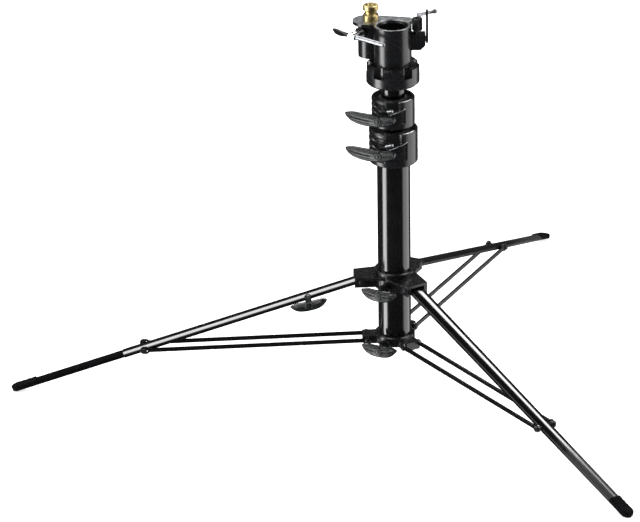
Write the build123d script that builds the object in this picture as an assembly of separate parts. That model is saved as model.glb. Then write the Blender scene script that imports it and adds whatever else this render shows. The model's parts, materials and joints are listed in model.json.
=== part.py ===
from build123d import *
from math import asin, atan2, cos, degrees, hypot, radians, sin, tan
import os

# Low three-legged lighting stand: column, two risers, lever-locked collars, braced legs, socket and
# spigot head. Millimetres, +Z up, origin on the column axis at floor level.

# ---- clearances ----
SHAFT_GAP = 0.05  # radial gap of a pin or tube running in its own hole
SIDE_GAP = 0.3  # gap between separate bodies that pass each other

# ---- column and risers ----
COLUMN_OD, COLUMN_ID = 35.0, 32.0
RISER1_OD, RISER1_ID = 30.0, 27.5
RISER2_OD, RISER2_ID = 25.0, 22.0
COLUMN_BOTTOM, COLUMN_TOP = 41.0, 261.0
RISER1_BOTTOM, RISER1_TOP = 48.0, 300.0
RISER2_BOTTOM, RISER2_TOP = 52.0, 350.0
FOOT_BUSH_LENGTH = 18.0

# ---- riser collars ----
LOWER_COLLAR_OD, LOWER_COLLAR_BOTTOM, LOWER_COLLAR_TOP = 51.4, 250.0, 288.0
UPPER_COLLAR_OD, UPPER_COLLAR_BOTTOM, UPPER_COLLAR_TOP = 45.4, 291.4, 322.8
COLLAR_LIP = 1.5
BUSH_WALL, BUSH_SPLIT = 2.0, 2.0
RIB_COUNT, RIB_WIDTH, RIB_GROOVE, RIB_DEPTH, RIB_TURN = 5, 15.0, 2.6, 1.6, -38.0
SPLIT_WIDTH, SPLIT_TURN, SPLIT_FOOT, SPLIT_HEAD = 4.4, 24.0, 2.0, 5.0
KNOB_AZIMUTH = 246.0
LOWER_KNOB_Z, UPPER_KNOB_Z = 268.5, 307.5
KNOB_BOSS_R, KNOB_BOSS = 6.5, 2.5
SCREW_R = 3.0
SHOE_LENGTH = 2.0

# ---- wing knobs ----
WING_DEPTH, WING_HEIGHT = 9.0, 12.0
WING_TIP, WING_MIDDLE = 0.3, 0.65  # heights of the tips and the deck, as shares of half the height
SPIDER_WING_REACH, SPIDER_WING_X = 20.5, 34.0
COLLAR_WING_LONG, COLLAR_WING_SHORT, COLLAR_WING_X = 38.5, 19.0, 32.0
NECK_R = 4.5
WING_LEAN = 1.0  # each end of the grip leans in by this much towards its top edge

# ---- legs, braces and their spiders ----
LEG_AZIMUTHS = {"left": 184.565, "front": 304.565, "back": 64.565}
LEG_PIVOT_R, LEG_PIVOT_Z = 36.0, 116.0
LEG_LENGTH = 392.0
LEG_HEIGHT = 5.0
LEG_ROOT_WIDTH, LEG_TIP_WIDTH = 16.5, 12.5
LEG_WALL = 1.2
LEG_CROWN = 1.2
POCKET_CROWN, POCKET_CUT = 0.1, 0.02
FOOT_LENGTH, FOOT_HEIGHT, FOOT_WALL = 28.0, 6.2, 0.6
LEG_BLOCK, FOOT_NOSE = 9.0, 4.0
PIN_R, PIN_HEAD_R, PIN_HEAD, SPACER_R = 1.5, 2.9, 1.5, 2.6
BRACE_PIVOT_R, BRACE_PIVOT_Z = 30.0, 47.0
BRACE_END_R = 269.0
STRAP_OFFSET, STRAP_THICKNESS, STRAP_HEIGHT = 10.0, 2.4, 4.2
STRAP_EYE_R, STRAP_SLOT = 4.0, 2.2
STRAP_OUTSIDE = STRAP_OFFSET + STRAP_THICKNESS / 2 + SIDE_GAP
OPEN_PIVOT_R = PIN_R + 0.7
SPIDER_OD, SPIDER_LIP = 43.0, 1.0
UPPER_RING_BOTTOM, UPPER_RING_TOP = 106.0, 127.0
WING_END_R, WING_HALF_WIDTH = 43.0, 12.5
DECK_BOTTOM, DECK_TOP = 119.0, 121.5
CHEEK_BOTTOM = 110.0
UPPER_LOCK_Z, LOWER_LOCK_Z = 110.0, 45.5
LOWER_RING_BOTTOM, LOWER_RING_TOP = 42.0, 53.0
LUG_HALF_WIDTH, LUG_END_R = 8.5, 34.5
LUG_BOTTOM, LUG_TOP = 42.5, 51.5
LOCK_AZIMUTH, LOCK_BOSS_R, LOCK_BOSS = 244.6, 6.0, 5.5
ARM_START, DECK_START, DECK_ROOT_HALF_WIDTH = 18.0, 8.0, 19.0

# ---- levelling leg ----
SHEATH_WIDTH, SHEATH_END, SHEATH_CROWN = 15.5, 266.0, 0.7
SLIDER_WIDTH, SLIDER_HEIGHT = 12.9, 2.8
SLIDER_START, SLIDER_PLAY = 7.0, 0.1
OUTER_LEG_WIDTH, OUTER_LEG_HEIGHT = 13.0, 5.0
LEVEL_KNOB_U, LEVEL_KNOB_ROLL = 59.5, -6.0
LEVEL_SCREW_R, LEVEL_BOSS_R, LEVEL_BOSS = 2.0, 4.0, 4.0
LEVEL_WING_REACH, LEVEL_WING_X = 20.0, 23.0

# ---- head ----
SKIRT_OD, SKIRT_BOTTOM, SKIRT_TOP, SKIRT_LIP = 55.6, 337.4, 359.6, 2.0
SOCKET_OD, SOCKET_R, SOCKET_FLOOR, HEAD_TOP = 39.5, 14.3, 354.0, 400.5
MOUTH_CHAMFER = 2.7
SPIGOT_X, SPIGOT_Y, SPIGOT_R, SPIGOT_NECK_R = -22.5, 16.0, 8.0, 6.2
SPIGOT_BOTTOM, NECK_BOTTOM, NECK_TOP, SPIGOT_TOP = 366.0, 407.4, 411.9, 417.4
SPIGOT_BOSS_R, SPIGOT_BOSS_BOTTOM = 13.5, 362.0
SPIGOT_LIP = 0.8
SPIGOT_LOCK_AZIMUTH, SPIGOT_LOCK_Z, BAR_PLANE = 230.0, 390.5, 30.9
BAR_R, BAR_LENGTH, BAR_SHIFT = 2.2, 69.4, 8.1
BAR_HEAD_R, BAR_HEAD, BAR_END_R, BAR_END = 4.4, 8.0, 2.6, 3.0
SPIGOT_LOCK_BOSS_R, SPIGOT_LOCK_BOSS = 6.5, 18.0
SPIGOT_HOLE_R, SPIGOT_HOLE_DEPTH = 4.0, 12.0
LOBE_X, LOBE_Y, LOBE_R = -26.0, 16.0, 15.5
RIGHT_LOBE_X, RIGHT_LOBE_Y, RIGHT_LOBE_R, DECK_THICKNESS = 14.0, 16.0, 8.0, 3.0
FLUTE_AZIMUTHS = (238.0, 303.0, 8.0, 68.0, 128.0, 182.0)
FLUTE_R, FLUTE_WIDTH, FLUTE_FLOOR = 28.3, 13.0, 348.6
ROLL_PIN_Z, ROLL_PIN_R = 343.5, 1.5
LUG_X0, LUG_X1, LUG_HALF_Y, LUG_Z0, LUG_Z1, LUG_BEVEL = 16.0, 34.0, 7.0, 375.0, 391.0, 5.0
SOCKET_LOCK_Z, SOCKET_SCREW_RECESS = 385.5, 0.7
LEVER_X0, LEVER_X1, LEVER_HALF_Y = 34.5, 37.0, 3.0
LEVER_BOTTOM, LEVER_TOP, LEVER_HUB_R, LEVER_BAR_Z = 381.5, 416.4, 4.6, 413.4
LEVER_BAR_AZIMUTH, LEVER_BAR_LENGTH, LEVER_BAR_R = 32.0, 23.0, 1.8
POST_X, POST_Y, POST_R, POST_TOP, CAP_TOP = 25.6, 3.0, 4.0, 394.0, 407.0
POST_STEM_R, POST_DEPTH, CAP_LIP = 2.0, 2.2, 1.5
CUT = 1.0  # how far a cutting solid runs past the face that it cuts

LEG_TILT = asin((LEG_PIVOT_Z - FOOT_HEIGHT / 2) / LEG_LENGTH)
for _ in range(6):
    LEG_TILT = asin((LEG_PIVOT_Z - FOOT_HEIGHT / 2 * cos(LEG_TILT)) / LEG_LENGTH)
BRACE_END_Z = LEG_PIVOT_Z - (BRACE_END_R - LEG_PIVOT_R) * tan(LEG_TILT)
ATTACH_U = hypot(BRACE_END_R - LEG_PIVOT_R, LEG_PIVOT_Z - BRACE_END_Z)
BRACE_LENGTH = hypot(BRACE_END_R - BRACE_PIVOT_R, BRACE_END_Z - BRACE_PIVOT_Z)
BRACE_TILT = atan2(BRACE_PIVOT_Z - BRACE_END_Z, BRACE_END_R - BRACE_PIVOT_R)


def tube(outer_d, inner_d, bottom, top):
    """Round tube standing on the column axis."""
    wall = Circle(outer_d / 2) - Circle(inner_d / 2)
    return Pos(0, 0, bottom) * extrude(wall, top - bottom)


def rod(radius, length):
    """Round bar that starts at the origin and runs along +X."""
    return Rot(0, 90, 0) * extrude(Circle(radius), length)


def cross_rod(radius, half_length):
    """Round bar centred on the origin along Y."""
    return Rot(90, 0, 0) * extrude(Circle(radius), half_length, both=True)


def block(x0, x1, y0, y1, z0, z1):
    """Box between two corners."""
    return Pos((x0 + x1) / 2, (y0 + y1) / 2, (z0 + z1) / 2) * Box(x1 - x0, y1 - y0, z1 - z0)


def outward(azimuth, z):
    """Placement whose +X points radially outward at this azimuth and height."""
    return Rot(0, 0, azimuth) * Pos(0, 0, z)


def leg_place(azimuth):
    """Placement whose +X runs down a leg from its hinge pin."""
    return Rot(0, 0, azimuth) * Pos(LEG_PIVOT_R, 0, LEG_PIVOT_Z) * Rot(0, degrees(LEG_TILT), 0)


def brace_place(azimuth):
    """Placement whose +X runs out along a brace from its hinge pin."""
    return Rot(0, 0, azimuth) * Pos(BRACE_PIVOT_R, 0, BRACE_PIVOT_Z) * Rot(0, degrees(BRACE_TILT), 0)


def wing(left, right):
    """Boat-shaped grip of a wing knob in the YZ plane, its inner face at x = 0."""
    tip = WING_HEIGHT / 2
    low_left, low_right = (-left, tip * WING_TIP), (right, tip * WING_TIP)
    high_left, high_right = (-left + WING_LEAN, tip), (right - WING_LEAN, tip)
    edges = [
        ThreePointArc(low_left, ((right - left) / 2, -tip), low_right),
        Line(low_right, high_right),
        ThreePointArc(high_right, (0, tip * WING_MIDDLE), high_left),
        Line(high_left, low_left),
    ]
    return Plane.YZ * extrude(make_face(edges), WING_DEPTH)


def wing_knob(left, right, neck, reach):
    """Wing grip with its neck: the neck starts at x = neck and the grip's inner face is at reach."""
    stem = Pos(neck, 0, 0) * rod(NECK_R, reach - neck + WING_DEPTH / 2)
    return stem + Pos(reach, 0, 0) * wing(left, right)


def knob_and_screw(place, left, right, tip, neck, reach, screw_r=SCREW_R):
    """The grip and the stud moulded into it, as two nodes."""
    screw = Pos(tip, 0, 0) * rod(screw_r, reach + WING_DEPTH / 2 - tip)
    return place * (wing_knob(left, right, neck, reach) - screw), place * screw


def collar(outer_d, tube_d, tube_top, bush_d, bottom, top, knob_z):
    """Riser collar: seated on one tube, lined for the next, with a screw boss and ribbed front left."""
    body = tube(outer_d, tube_d, bottom, top)
    body = chamfer(body.edges().filter_by(GeomType.CIRCLE).group_by(SortBy.RADIUS)[-1], COLLAR_LIP)
    outer_r = outer_d / 2
    body += outward(KNOB_AZIMUTH, knob_z) * Pos(tube_d / 2, 0, 0) * rod(
        KNOB_BOSS_R, outer_r + KNOB_BOSS - tube_d / 2
    )
    body -= Pos(0, 0, tube_top) * extrude(Circle(bush_d / 2), top - COLLAR_LIP - tube_top)
    body -= Pos(0, 0, tube_top) * extrude(Circle((bush_d - BUSH_WALL) / 2), top - tube_top)
    skin = (outer_r - RIB_DEPTH, outer_r + CUT)
    rib_pitch = (top - bottom) / (RIB_COUNT + 1)
    groove = block(*skin, -RIB_WIDTH / 2, RIB_WIDTH / 2, -RIB_GROOVE / 2, RIB_GROOVE / 2)
    for level in range(1, RIB_COUNT + 1):
        body -= outward(KNOB_AZIMUTH + RIB_TURN, bottom + level * rib_pitch) * groove
    split = block(*skin, -SPLIT_WIDTH / 2, SPLIT_WIDTH / 2, bottom + SPLIT_FOOT, top - SPLIT_HEAD)
    body -= outward(KNOB_AZIMUTH + SPLIT_TURN, 0) * split
    return body - outward(KNOB_AZIMUTH, knob_z) * rod(SCREW_R + SHAFT_GAP, outer_d)


def bush(outer_d, inner_d, bottom, top, knob_z):
    """Plastic lining of a collar, split and holed for the clamping shoe."""
    lining = tube(outer_d, inner_d, bottom, top)
    split = block(0, outer_d, -BUSH_SPLIT / 2, BUSH_SPLIT / 2, bottom - CUT, top + CUT)
    lining -= outward(KNOB_AZIMUTH + 180, 0) * split
    return lining - outward(KNOB_AZIMUTH, knob_z) * rod(SCREW_R + SHAFT_GAP, outer_d)


def clamp_shoe(tube_d, knob_z):
    """Pressure pad between a collar's screw and the tube that it holds."""
    return outward(KNOB_AZIMUTH, knob_z) * Pos(tube_d / 2 + SIDE_GAP, 0, 0) * rod(SCREW_R, SHOE_LENGTH)


# ---- column and risers ----
def column_parts():
    """Outer tube with its end plug, and the two risers with the bushes that guide their feet."""
    bush1_od, bush2_od = COLUMN_ID - 2 * SHAFT_GAP, RISER1_ID - 2 * SHAFT_GAP
    bush1_top, bush2_top = RISER1_BOTTOM + FOOT_BUSH_LENGTH, RISER2_BOTTOM + FOOT_BUSH_LENGTH
    pin_hole = Pos(-SKIRT_OD / 2, 0, ROLL_PIN_Z) * rod(ROLL_PIN_R, SKIRT_OD)
    return {
        "column_tube": tube(COLUMN_OD, COLUMN_ID, COLUMN_BOTTOM, COLUMN_TOP),
        "column_end_plug": tube(COLUMN_ID, COLUMN_ID / 2, COLUMN_BOTTOM, RISER1_BOTTOM - SIDE_GAP),
        "riser_1_tube": tube(RISER1_OD, RISER1_ID, RISER1_BOTTOM, RISER1_TOP),
        "riser_1_foot_bush": tube(bush1_od, RISER1_OD, RISER1_BOTTOM, bush1_top),
        "riser_2_tube": tube(RISER2_OD, RISER2_ID, RISER2_BOTTOM, RISER2_TOP) - pin_hole,
        "riser_2_foot_bush": tube(bush2_od, RISER2_OD, RISER2_BOTTOM, bush2_top),
    }


def collar_parts():
    """Both lever collars with their linings, shoes, levers and studs."""
    collars = {
        "lower": (LOWER_COLLAR_OD, COLUMN_OD, COLUMN_TOP, RISER1_OD, LOWER_COLLAR_BOTTOM,
                  LOWER_COLLAR_TOP, LOWER_KNOB_Z),
        "upper": (UPPER_COLLAR_OD, RISER1_OD, RISER1_TOP, RISER2_OD, UPPER_COLLAR_BOTTOM,
                  UPPER_COLLAR_TOP, UPPER_KNOB_Z),
    }
    made = {}
    for name, (outer_d, tube_d, tube_top, riser_d, bottom, top, knob_z) in collars.items():
        bush_d = riser_d + 2 * SHAFT_GAP + 2 * BUSH_WALL
        made[f"{name}_riser_collar"] = collar(
            outer_d, tube_d, tube_top, bush_d, bottom, top, knob_z
        )
        made[f"{name}_collar_bush"] = bush(
            bush_d, riser_d + 2 * SHAFT_GAP, tube_top, top - COLLAR_LIP, knob_z
        )
        made[f"{name}_clamp_shoe"] = clamp_shoe(riser_d, knob_z)
        shoe_back = riser_d / 2 + SIDE_GAP + SHOE_LENGTH
        boss_face = outer_d / 2 + KNOB_BOSS
        made[f"{name}_collar_lever"], made[f"{name}_collar_screw"] = knob_and_screw(
            outward(KNOB_AZIMUTH, knob_z), COLLAR_WING_LONG, COLLAR_WING_SHORT,
            shoe_back + SIDE_GAP, boss_face + SIDE_GAP, COLLAR_WING_X,
        )
    return made


# ---- spiders ----
def spider_ring(bottom, top, lock_z):
    """Sliding ring on the column with the boss of its lock screw."""
    ring = tube(SPIDER_OD, COLUMN_OD, bottom, top)
    rims = ring.edges().filter_by(GeomType.CIRCLE).group_by(SortBy.RADIUS)[-1]
    boss = Pos(COLUMN_OD / 2, 0, 0) * rod(LOCK_BOSS_R, SPIDER_OD / 2 + LOCK_BOSS - COLUMN_OD / 2)
    return chamfer(rims, SPIDER_LIP) + outward(LOCK_AZIMUTH, lock_z) * boss


def bored_spider(body, lock_z):
    """Cuts the column bore and the lock screw's hole."""
    body -= extrude(Circle(COLUMN_OD / 2 + SHAFT_GAP), UPPER_RING_TOP + CUT)
    return body - outward(LOCK_AZIMUTH, lock_z) * rod(SCREW_R + SHAFT_GAP, SPIDER_OD)


def upper_spider():
    """Casting that carries the leg hinges: a deck and two cheeks over each leg's root."""
    body = spider_ring(UPPER_RING_BOTTOM, UPPER_RING_TOP, UPPER_LOCK_Z)
    slot_half = LEG_ROOT_WIDTH / 2 + SIDE_GAP
    plan = Polyline(
        (DECK_START, -DECK_ROOT_HALF_WIDTH),
        (WING_END_R, -WING_HALF_WIDTH),
        (WING_END_R, WING_HALF_WIDTH),
        (DECK_START, DECK_ROOT_HALF_WIDTH),
        close=True,
    )
    arm = Pos(0, 0, DECK_BOTTOM) * extrude(make_face(plan), DECK_TOP - DECK_BOTTOM)
    for y0, y1 in ((-WING_HALF_WIDTH, -slot_half), (slot_half, WING_HALF_WIDTH)):
        arm += block(ARM_START, WING_END_R, y0, y1, CHEEK_BOTTOM, DECK_TOP)
    arm -= Pos(LEG_PIVOT_R, 0, LEG_PIVOT_Z) * cross_rod(PIN_R, WING_HALF_WIDTH + CUT)
    for azimuth in LEG_AZIMUTHS.values():
        body += Rot(0, 0, azimuth) * arm
    return bored_spider(body, UPPER_LOCK_Z)


def lower_spider():
    """Casting that carries the brace hinges: one lug to each pair of straps."""
    body = spider_ring(LOWER_RING_BOTTOM, LOWER_RING_TOP, LOWER_LOCK_Z)
    lug = block(ARM_START, LUG_END_R, -LUG_HALF_WIDTH, LUG_HALF_WIDTH, LUG_BOTTOM, LUG_TOP)
    lug -= Pos(BRACE_PIVOT_R, 0, BRACE_PIVOT_Z) * cross_rod(PIN_R, LUG_HALF_WIDTH + CUT)
    for azimuth in LEG_AZIMUTHS.values():
        body += Rot(0, 0, azimuth) * lug
    return bored_spider(body, LOWER_LOCK_Z)


def hinge_pins(radius, z, head_start):
    """Three headed cross pins, one to each leg."""
    pin = Pos(radius, 0, z) * headed_pin(head_start)
    return Compound([Rot(0, 0, azimuth) * pin for azimuth in LEG_AZIMUTHS.values()])


def headed_pin(head_start):
    """Cross pin along Y with a head at each end."""
    pin = cross_rod(PIN_R, head_start + PIN_HEAD)
    for side in (-1, 1):
        pin += Pos(0, side * (head_start + PIN_HEAD / 2), 0) * cross_rod(PIN_HEAD_R, PIN_HEAD / 2)
    return pin


def spider_parts():
    """Both spiders with their pins and lock knobs."""
    made = {
        "upper_spider": upper_spider(),
        "leg_hinge_pins": hinge_pins(LEG_PIVOT_R, LEG_PIVOT_Z, WING_HALF_WIDTH),
        "lower_spider": lower_spider(),
        "brace_hinge_pins": hinge_pins(BRACE_PIVOT_R, BRACE_PIVOT_Z, STRAP_OUTSIDE),
    }
    for name, lock_z in (("upper", UPPER_LOCK_Z), ("lower", LOWER_LOCK_Z)):
        boss_face = SPIDER_OD / 2 + LOCK_BOSS
        made[f"{name}_spider_knob"], made[f"{name}_spider_screw"] = knob_and_screw(
            outward(LOCK_AZIMUTH, lock_z), SPIDER_WING_REACH, SPIDER_WING_REACH,
            COLUMN_OD / 2 + SIDE_GAP, boss_face + SIDE_GAP, SPIDER_WING_X,
        )
    return made


# ---- legs ----
def leg_section(u, width, height, crown):
    """Crowned cross-section of a leg at distance u from its pin."""
    half, top = width / 2, height / 2
    edges = [
        Line((-half, -top), (half, -top)),
        Line((half, -top), (half, top - crown)),
        ThreePointArc((half, top - crown), (0, top), (-half, top - crown)),
        Line((-half, top - crown), (-half, -top)),
    ]
    return Plane(origin=(u, 0, 0), x_dir=(0, 1, 0), z_dir=(1, 0, 0)) * make_face(edges)


def leg_bar(start, end, start_width, end_width, height, crown):
    """Leg body between two distances from the pin."""
    ends = ((start, start_width), (end, end_width))
    return loft([leg_section(u, width, height, crown) for u, width in ends])


def channel_pocket(start, end, start_width, end_width):
    """Hollow underneath a pressed leg."""
    depth = LEG_HEIGHT - LEG_WALL - LEG_CROWN
    inner_start, inner_end = start_width - 2 * LEG_WALL, end_width - 2 * LEG_WALL
    pocket = leg_bar(start, end, inner_start, inner_end, depth + POCKET_CUT, POCKET_CROWN)
    return Pos(0, 0, (depth - POCKET_CUT - LEG_HEIGHT) / 2) * pocket


def width_at(u):
    """Width of a tapered leg at distance u from its pin."""
    return LEG_ROOT_WIDTH + (LEG_TIP_WIDTH - LEG_ROOT_WIDTH) * u / LEG_LENGTH


def pressed_leg():
    """Tapered channel, closed at the hinge, with a cross hole for the brace bolt."""
    end = LEG_LENGTH - FOOT_NOSE
    body = leg_bar(0, end, LEG_ROOT_WIDTH, width_at(end), LEG_HEIGHT, LEG_CROWN)
    body += cross_rod(LEG_HEIGHT / 2, LEG_ROOT_WIDTH / 2)
    hollow_end = LEG_LENGTH - FOOT_LENGTH
    body -= channel_pocket(LEG_BLOCK, hollow_end, width_at(LEG_BLOCK), width_at(hollow_end))
    body -= cross_rod(PIN_R + SHAFT_GAP, LEG_ROOT_WIDTH)
    return body - Pos(ATTACH_U, 0, 0) * cross_rod(PIN_R, LEG_ROOT_WIDTH)


def foot_cap(leg_width, inner):
    """Moulded foot with a round nose, slipped over the end of a leg."""
    half = leg_width / 2 + FOOT_WALL
    start = LEG_LENGTH - FOOT_LENGTH
    plan = make_face([
        Line((start, -half), (LEG_LENGTH - half, -half)),
        ThreePointArc((LEG_LENGTH - half, -half), (LEG_LENGTH, 0), (LEG_LENGTH - half, half)),
        Line((LEG_LENGTH - half, half), (start, half)),
        Line((start, half), (start, -half)),
    ])
    cap = Pos(0, 0, -FOOT_HEIGHT / 2) * extrude(plan, FOOT_HEIGHT)
    return cap - inner


def brace_bolt():
    """Cross bolt of a fixed leg with its head and nut."""
    return Pos(ATTACH_U, 0, 0) * headed_pin(STRAP_OUTSIDE)


def brace_spacers(half_width):
    """Pair of spacers that centre the straps on the leg."""
    length = STRAP_OFFSET - STRAP_THICKNESS / 2 - SIDE_GAP - half_width
    ring = cross_rod(SPACER_R, length / 2) - cross_rod(PIN_R, length)
    return Compound([Pos(ATTACH_U, side * (half_width + length / 2), 0) * ring for side in (-1, 1)])


def fixed_leg(name):
    """One fixed leg with its foot, bolt and spacers."""
    place = leg_place(LEG_AZIMUTHS[name])
    end = LEG_LENGTH - FOOT_NOSE
    outer = leg_bar(0, end, LEG_ROOT_WIDTH, width_at(end), LEG_HEIGHT, LEG_CROWN)
    return {
        f"{name}_leg": place * pressed_leg(),
        f"{name}_foot": place * foot_cap(width_at(LEG_LENGTH - FOOT_LENGTH), outer),
        f"{name}_brace_bolt": place * brace_bolt(),
        f"{name}_brace_spacers": place * brace_spacers(width_at(ATTACH_U - SPACER_R) / 2),
    }


def levelling_sheath():
    """Constant-width sheath that the levelling leg slides in, with the boss of its lock."""
    body = leg_bar(0, SHEATH_END, SHEATH_WIDTH, SHEATH_WIDTH, LEG_HEIGHT, SHEATH_CROWN)
    body += cross_rod(LEG_HEIGHT / 2, SHEATH_WIDTH / 2)
    knob_side = Pos(LEVEL_KNOB_U, 0, 0) * Rot(0, 0, 90)
    body += knob_side * Pos(SLIDER_WIDTH / 2, 0, 0) * rod(
        LEVEL_BOSS_R, (SHEATH_WIDTH - SLIDER_WIDTH) / 2 + LEVEL_BOSS
    )
    half_width, half_height = SLIDER_WIDTH / 2 + SLIDER_PLAY, SLIDER_HEIGHT / 2 + SLIDER_PLAY
    body -= block(
        SLIDER_START - SIDE_GAP, SHEATH_END + CUT, -half_width, half_width, -half_height, half_height
    )
    body -= knob_side * rod(LEVEL_SCREW_R + SHAFT_GAP, SHEATH_WIDTH)
    return body - cross_rod(PIN_R + SHAFT_GAP, SHEATH_WIDTH)


def brace_studs():
    """Headed studs on the sheath's two sides, in place of a cross bolt."""
    studs = []
    reach, inner = STRAP_OUTSIDE + PIN_HEAD, SHEATH_WIDTH / 2
    shoulder = STRAP_OFFSET - STRAP_THICKNESS / 2 - SIDE_GAP - inner
    for side in (-1, 1):
        stud = Pos(0, side * (inner + reach) / 2, 0) * cross_rod(PIN_R, (reach - inner) / 2)
        stud += Pos(0, side * (reach - PIN_HEAD / 2), 0) * cross_rod(PIN_HEAD_R, PIN_HEAD / 2)
        stud += Pos(0, side * (inner + shoulder / 2), 0) * cross_rod(SPACER_R, shoulder / 2)
        studs.append(Pos(ATTACH_U, 0, 0) * stud)
    return Compound(studs)


def levelling_leg():
    """Bar that slides in the sheath, stepping up to the full section outside it."""
    end = LEG_LENGTH - FOOT_NOSE
    start = SHEATH_END + SIDE_GAP
    half_width, half_height = SLIDER_WIDTH / 2, SLIDER_HEIGHT / 2
    body = block(SLIDER_START, start + CUT, -half_width, half_width, -half_height, half_height)
    width = OUTER_LEG_WIDTH
    outer = leg_bar(start, end, width, width, OUTER_LEG_HEIGHT, LEG_CROWN)
    outer -= channel_pocket(start + LEG_BLOCK, LEG_LENGTH - FOOT_LENGTH, width, width)
    return body + outer


def left_leg_parts():
    """The levelling leg, its sheath, foot, studs and lock."""
    place = leg_place(LEG_AZIMUTHS["left"])
    end, width = LEG_LENGTH - FOOT_NOSE, OUTER_LEG_WIDTH
    outer = leg_bar(SHEATH_END, end, width, width, OUTER_LEG_HEIGHT, LEG_CROWN)
    knob, screw = knob_and_screw(
        place * Pos(LEVEL_KNOB_U, 0, 0) * Rot(0, 0, 90) * Rot(LEVEL_KNOB_ROLL, 0, 0),
        LEVEL_WING_REACH, LEVEL_WING_REACH, SLIDER_WIDTH / 2 + SIDE_GAP,
        SHEATH_WIDTH / 2 + LEVEL_BOSS + SIDE_GAP, LEVEL_WING_X, LEVEL_SCREW_R,
    )
    return {
        "left_leg_sheath": place * levelling_sheath(),
        "left_levelling_leg": place * levelling_leg(),
        "left_foot": place * foot_cap(OUTER_LEG_WIDTH, outer),
        "left_brace_studs": place * brace_studs(),
        "levelling_knob": knob,
        "levelling_screw": screw,
    }


def brace_strap(side):
    """Flat strap with an eye on its hinge pin and a slotted eye for the open pivot."""
    thick, half_thick, half_height = STRAP_THICKNESS, STRAP_THICKNESS / 2, STRAP_HEIGHT / 2
    slot_ends = (BRACE_LENGTH - STRAP_SLOT, BRACE_LENGTH)
    strap = block(0, BRACE_LENGTH, -half_thick, half_thick, -half_height, half_height)
    for u in (0, *slot_ends):
        strap += Pos(u, 0, 0) * cross_rod(STRAP_EYE_R, half_thick)
    strap -= cross_rod(PIN_R + SHAFT_GAP, thick)
    slot = block(*slot_ends, -thick, thick, -OPEN_PIVOT_R, OPEN_PIVOT_R)
    for u in slot_ends:
        slot += Pos(u, 0, 0) * cross_rod(OPEN_PIVOT_R, thick)
    return Pos(0, side * STRAP_OFFSET, 0) * (strap - slot)


def brace_parts():
    """Two straps to each leg."""
    made = {}
    for name, azimuth in LEG_AZIMUTHS.items():
        for label, side in (("near", -1), ("far", 1)):
            made[f"{name}_brace_{label}"] = brace_place(azimuth) * brace_strap(side)
    return made


# ---- head ----
def upright(x, y, radius, bottom, top):
    """Round post standing at x, y."""
    return Pos(x, y, bottom) * extrude(Circle(radius), top - bottom)


def spigot_lock_place():
    """Placement on the spigot lock's axis, +X outward, with x measured from the column axis."""
    turn = radians(SPIGOT_LOCK_AZIMUTH)
    along = SPIGOT_X * cos(turn) + SPIGOT_Y * sin(turn)
    across = SPIGOT_Y * cos(turn) - SPIGOT_X * sin(turn)
    return Rot(0, 0, SPIGOT_LOCK_AZIMUTH) * Pos(0, across, SPIGOT_LOCK_Z), along


def head_casting():
    """Socket body on its skirt, with the spigot boss on the left and the lock lug on the right."""
    lock, spigot_s = spigot_lock_place()
    skirt = upright(0, 0, SKIRT_OD / 2, SKIRT_BOTTOM, SKIRT_TOP)
    skirt = chamfer(skirt.edges().filter_by(GeomType.CIRCLE), SKIRT_LIP)
    flute = upright(FLUTE_R, 0, FLUTE_WIDTH / 2, FLUTE_FLOOR, SKIRT_TOP + CUT)
    for azimuth in FLUTE_AZIMUTHS:
        skirt -= Rot(0, 0, azimuth) * flute
    body = skirt + upright(0, 0, SOCKET_OD / 2, RISER2_TOP, HEAD_TOP)
    body += upright(SPIGOT_X, SPIGOT_Y, SPIGOT_BOSS_R, SPIGOT_BOSS_BOTTOM, HEAD_TOP)
    left_lobe = Pos(LOBE_X, LOBE_Y) * Circle(LOBE_R)
    right_lobe = Pos(RIGHT_LOBE_X, RIGHT_LOBE_Y) * Circle(RIGHT_LOBE_R)
    plate = extrude(make_hull(left_lobe.edges() + right_lobe.edges()), DECK_THICKNESS)
    body += Pos(0, 0, HEAD_TOP - DECK_THICKNESS) * plate
    body += lock * Pos(spigot_s, 0, 0) * rod(SPIGOT_LOCK_BOSS_R, SPIGOT_LOCK_BOSS)
    lug = block(LUG_X0, LUG_X1, -LUG_HALF_Y, LUG_HALF_Y, LUG_Z0, LUG_Z1)
    lower_edge = lug.edges().filter_by(Axis.Y).group_by(Axis.Z)[0].sort_by(Axis.X)[-1]
    body += chamfer(lower_edge, LUG_BEVEL)
    body -= upright(0, 0, SOCKET_R, SOCKET_FLOOR, HEAD_TOP + CUT)
    mouth = Cone(SOCKET_R, SOCKET_R + MOUTH_CHAMFER, MOUTH_CHAMFER)
    body -= Pos(0, 0, HEAD_TOP - MOUTH_CHAMFER / 2) * mouth
    body -= upright(0, 0, RISER2_OD / 2, SKIRT_BOTTOM - CUT, RISER2_TOP)
    spigot_bore = SPIGOT_R + SHAFT_GAP
    body -= upright(SPIGOT_X, SPIGOT_Y, spigot_bore, SPIGOT_BOTTOM - SIDE_GAP, HEAD_TOP + CUT)
    body -= lock * Pos(spigot_s, 0, 0) * rod(SCREW_R + SHAFT_GAP, BAR_PLANE)
    body -= Pos(0, 0, SOCKET_LOCK_Z) * rod(SCREW_R + SHAFT_GAP, LUG_X1 + CUT)
    body -= upright(POST_X, POST_Y, POST_STEM_R, LUG_Z1 - POST_DEPTH, LUG_Z1 + CUT)
    return body - Pos(-SKIRT_OD / 2, 0, ROLL_PIN_Z) * rod(ROLL_PIN_R, SKIRT_OD)


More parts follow.
